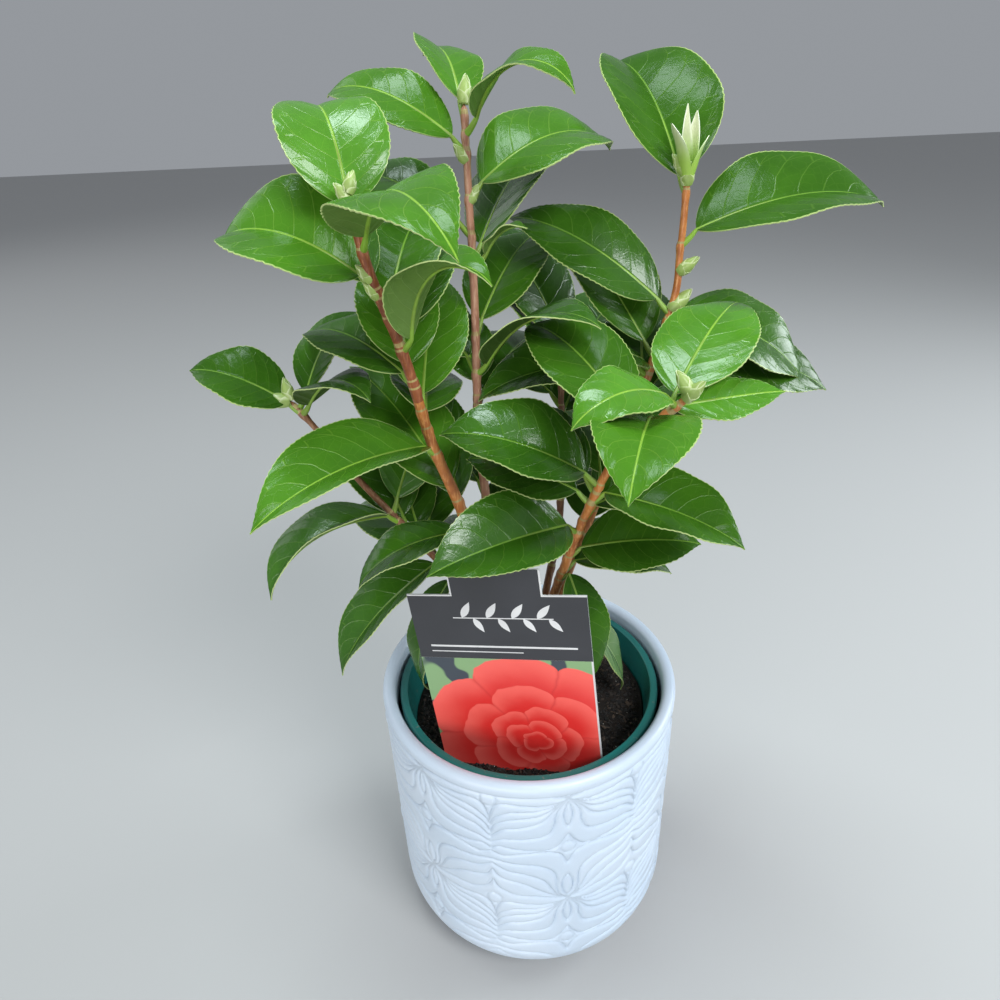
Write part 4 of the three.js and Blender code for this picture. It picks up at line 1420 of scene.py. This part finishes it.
def add_bud(parts, foot, heading, rise, length):
    """An oval bud of overlapping scales."""
    axis = unit(heading, rise)
    radius = BUD_RADIUS * length

    def girth(along):
        t = np.clip(along / length, 0, 1)
        return radius * np.sin(math.pi * (0.14 + 0.86 * t) ** 0.85) ** 0.7 + 0.05

    for k, (low, high) in enumerate(BUD_SCALES):
        points, faces, blade = scale(foot, axis, 137 * k, length * low, length * high,
                                     lambda along, k=k: girth(along) * (1 - 0.03 * k), 105 - 5 * k, 2.4)
        parts.add(points, faces, 0, blade)

    # The core that fills it
    along = np.linspace(0, length, 10)[:, None, None]
    first, other = round_axis(axis)
    angle = round_turn(14)[:, None]
    around = np.cos(angle) * first + np.sin(angle) * other
    points, faces = tube(foot + axis * along * 0.97 + around * 0.8 * girth(along))
    parts.add(points, faces, 0, np.full((len(points), 2), 0.5))


def add_opening_bud(parts, points, height, length):
    """The opening shoot bud: long pointed scales that spread from a green cup."""
    foot = point_at(points, height) + (0, 0, -2)
    axis = np.array([0.0, 0.0, 1.0])
    first, _ = round_axis(axis)
    add_bud(parts, foot, 0, 90, length * 0.36)
    for k, (heading, lean, share) in enumerate(SCALES):
        tall = length * share * math.sin(math.radians(lean))
        away = length * share * math.cos(math.radians(lean))
        cup = CUP_RADIUS - 0.2 * k

        def radius_at(along, away=away, cup=cup, tall=tall):
            t = along / tall
            swell = np.sin(np.clip(t / 0.5, 0, 1) * math.pi / 2)
            return CUP_FOOT_RADIUS + (cup - CUP_FOOT_RADIUS) * swell + (away - cup) * t ** 2.2

        turn = heading - math.degrees(math.atan2(first[1], first[0]))
        sheet, faces, blade = scale(foot, axis, turn, 0, tall, radius_at, SCALE_SPREAD, 1.5)
        parts.add(sheet, faces, 1, blade)


def make_foliage():
    """All the shoots: their stems, and their leaves and buds mass by mass."""
    number = 0
    for index, (name, shoot) in enumerate(SHOOTS.items()):
        points = smooth_path(shoot["path"])
        leaves = shoot["leaves"] + leaves_behind(shoot)
        make_stem(name, shoot, points, leaves, index)
        starts = [*shoot["masses"].values(), math.inf]
        for k, mass in enumerate(shoot["masses"]):
            stem_part = mass.replace("_foliage", "")
            leafage = Parts()
            for leaf in leaves:
                if starts[k] <= leaf[0] < starts[k + 1]:
                    root = point_at(points, leaf[0])
                    add_blade(leafage, root, leaf, number)
                    add_stalk(leafage, root, leaf)
                    number += 1
            piece = leafage.piece(f"{stem_part}_leaves", LEAF_FINISHES)
            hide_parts(mass)
            buds = Parts()
            for height, heading, rise, length in shoot["buds"]:
                if starts[k] <= height < starts[k + 1]:
                    add_bud(buds, point_at(points, height), heading, rise, length)
            if starts[k + 1] == math.inf and "opening_bud" in shoot:
                add_opening_bud(buds, points, *shoot["opening_bud"])
            if buds.count:
                buds.piece(f"{stem_part}_buds", BUD_FINISHES)


# The finishes of stems, leaves and buds, and the numbers of those on a leaf's faces

BARKS = {name: bark_finish(name, *colours) for name, colours in BARK_COLOURS.items()}
LEAF_FINISHES = [
    *[leaf_finish(f"{tone}_leaf", *colours, FACE_ROUGHNESS, GLOSS[tone], FACE_VEINS)
      for tone, colours in TONES.items()],
    *[leaf_finish(name, *colours, UNDERSIDE_ROUGHNESS, UNDERSIDE_GLOSS, UNDERSIDE_VEINS)
      for name, colours in UNDERSIDES.items()],
    stalk_finish(),
    plain_print("leaf_rim", (0.50, 0.62, 0.24), 0.5),
]
BUD_FINISHES = [
    scale_finish("bud_scales", (0.34, 0.47, 0.13), (0.62, 0.70, 0.40), (0.30, 0.44, 0.10), 0, 0.001),
    scale_finish("opening_scales", (0.74, 0.80, 0.50), (0.88, 0.92, 0.74), (0.34, 0.54, 0.09), 0.384, 0.397),
]
TONE_NUMBERS = {tone: k for k, tone in enumerate(TONES)}
UNDERSIDE = {tone: len(TONES) + (0 if tone in LIGHT_TONES else 1) for tone in TONES}
STALK = len(TONES) + 2
RIM = len(TONES) + 3


# Studio

def make_floor():
    """The plain pale floor."""
    finish, _, shader = new_finish("studio_floor", 0.7)
    shader["Base Color"].default_value = FLOOR_COLOUR
    corners = box_outline(-FLOOR_REACH, FLOOR_REACH, -FLOOR_REACH, FLOOR_REACH)
    mesh = bpy.data.meshes.new("studio_floor")
    mesh.from_pydata([(x, y, -0.0005) for x, y in corners], [], [[0, 1, 2, 3]])
    mesh.materials.append(finish)
    floor = bpy.data.objects.new("studio_floor", mesh)
    bpy.context.scene.collection.objects.link(floor)


def area_light(name, place, target, size, power, tint):
    """A soft light that points at a target."""
    light = bpy.data.lights.new(name, "AREA")
    light.shape = "RECTANGLE"
    light.size, light.size_y = size
    light.energy = power
    light.color = tint
    lamp = bpy.data.objects.new(name, light)
    lamp.location = place
    lamp.rotation_euler = (Vector(target) - Vector(place)).to_track_quat("-Z", "Y").to_euler()
    bpy.context.scene.collection.objects.link(lamp)


def make_studio():
    """The floor, an even sky and the lights."""
    make_floor()
    world = bpy.data.worlds.new("studio")
    world.use_nodes = True
    sky = world.node_tree.nodes["Background"].inputs
    sky[0].default_value = SKY_COLOUR
    sky[1].default_value = SKY_STRENGTH
    bpy.context.scene.world = world
    for name, values in LIGHTS.items():
        area_light(name, *values)


def make_camera():
    """The camera, at the height and slope from which the photo was taken."""
    pitch = math.radians(CAMERA_PITCH)
    roll = math.radians(CAMERA_ROLL)
    forward = Vector((0, math.cos(pitch), -math.sin(pitch)))
    right = Vector((1, 0, 0))
    down = forward.cross(right)
    turned_right = math.cos(roll) * right + math.sin(roll) * down
    turned_down = math.cos(roll) * down - math.sin(roll) * right
    axes = Matrix((turned_right, -turned_down, -forward)).transposed()
    data = bpy.data.cameras.new("photo_camera")
    data.sensor_width = 36
    data.lens = CAMERA_LENS
    data.clip_start = 0.01
    camera = bpy.data.objects.new("photo_camera", data)
    camera.matrix_world = Matrix.Translation(Vector(CAMERA_PLACE) * MM) @ axes.to_4x4()
    bpy.context.scene.collection.objects.link(camera)
    bpy.context.scene.camera = camera


make_camera()
make_studio()
bpy.context.scene.view_settings.view_transform = "Standard"
make_cover_pot()
make_grow_pot()
make_soil()
make_crumbs()
make_label()
make_trunk()
make_foliage()
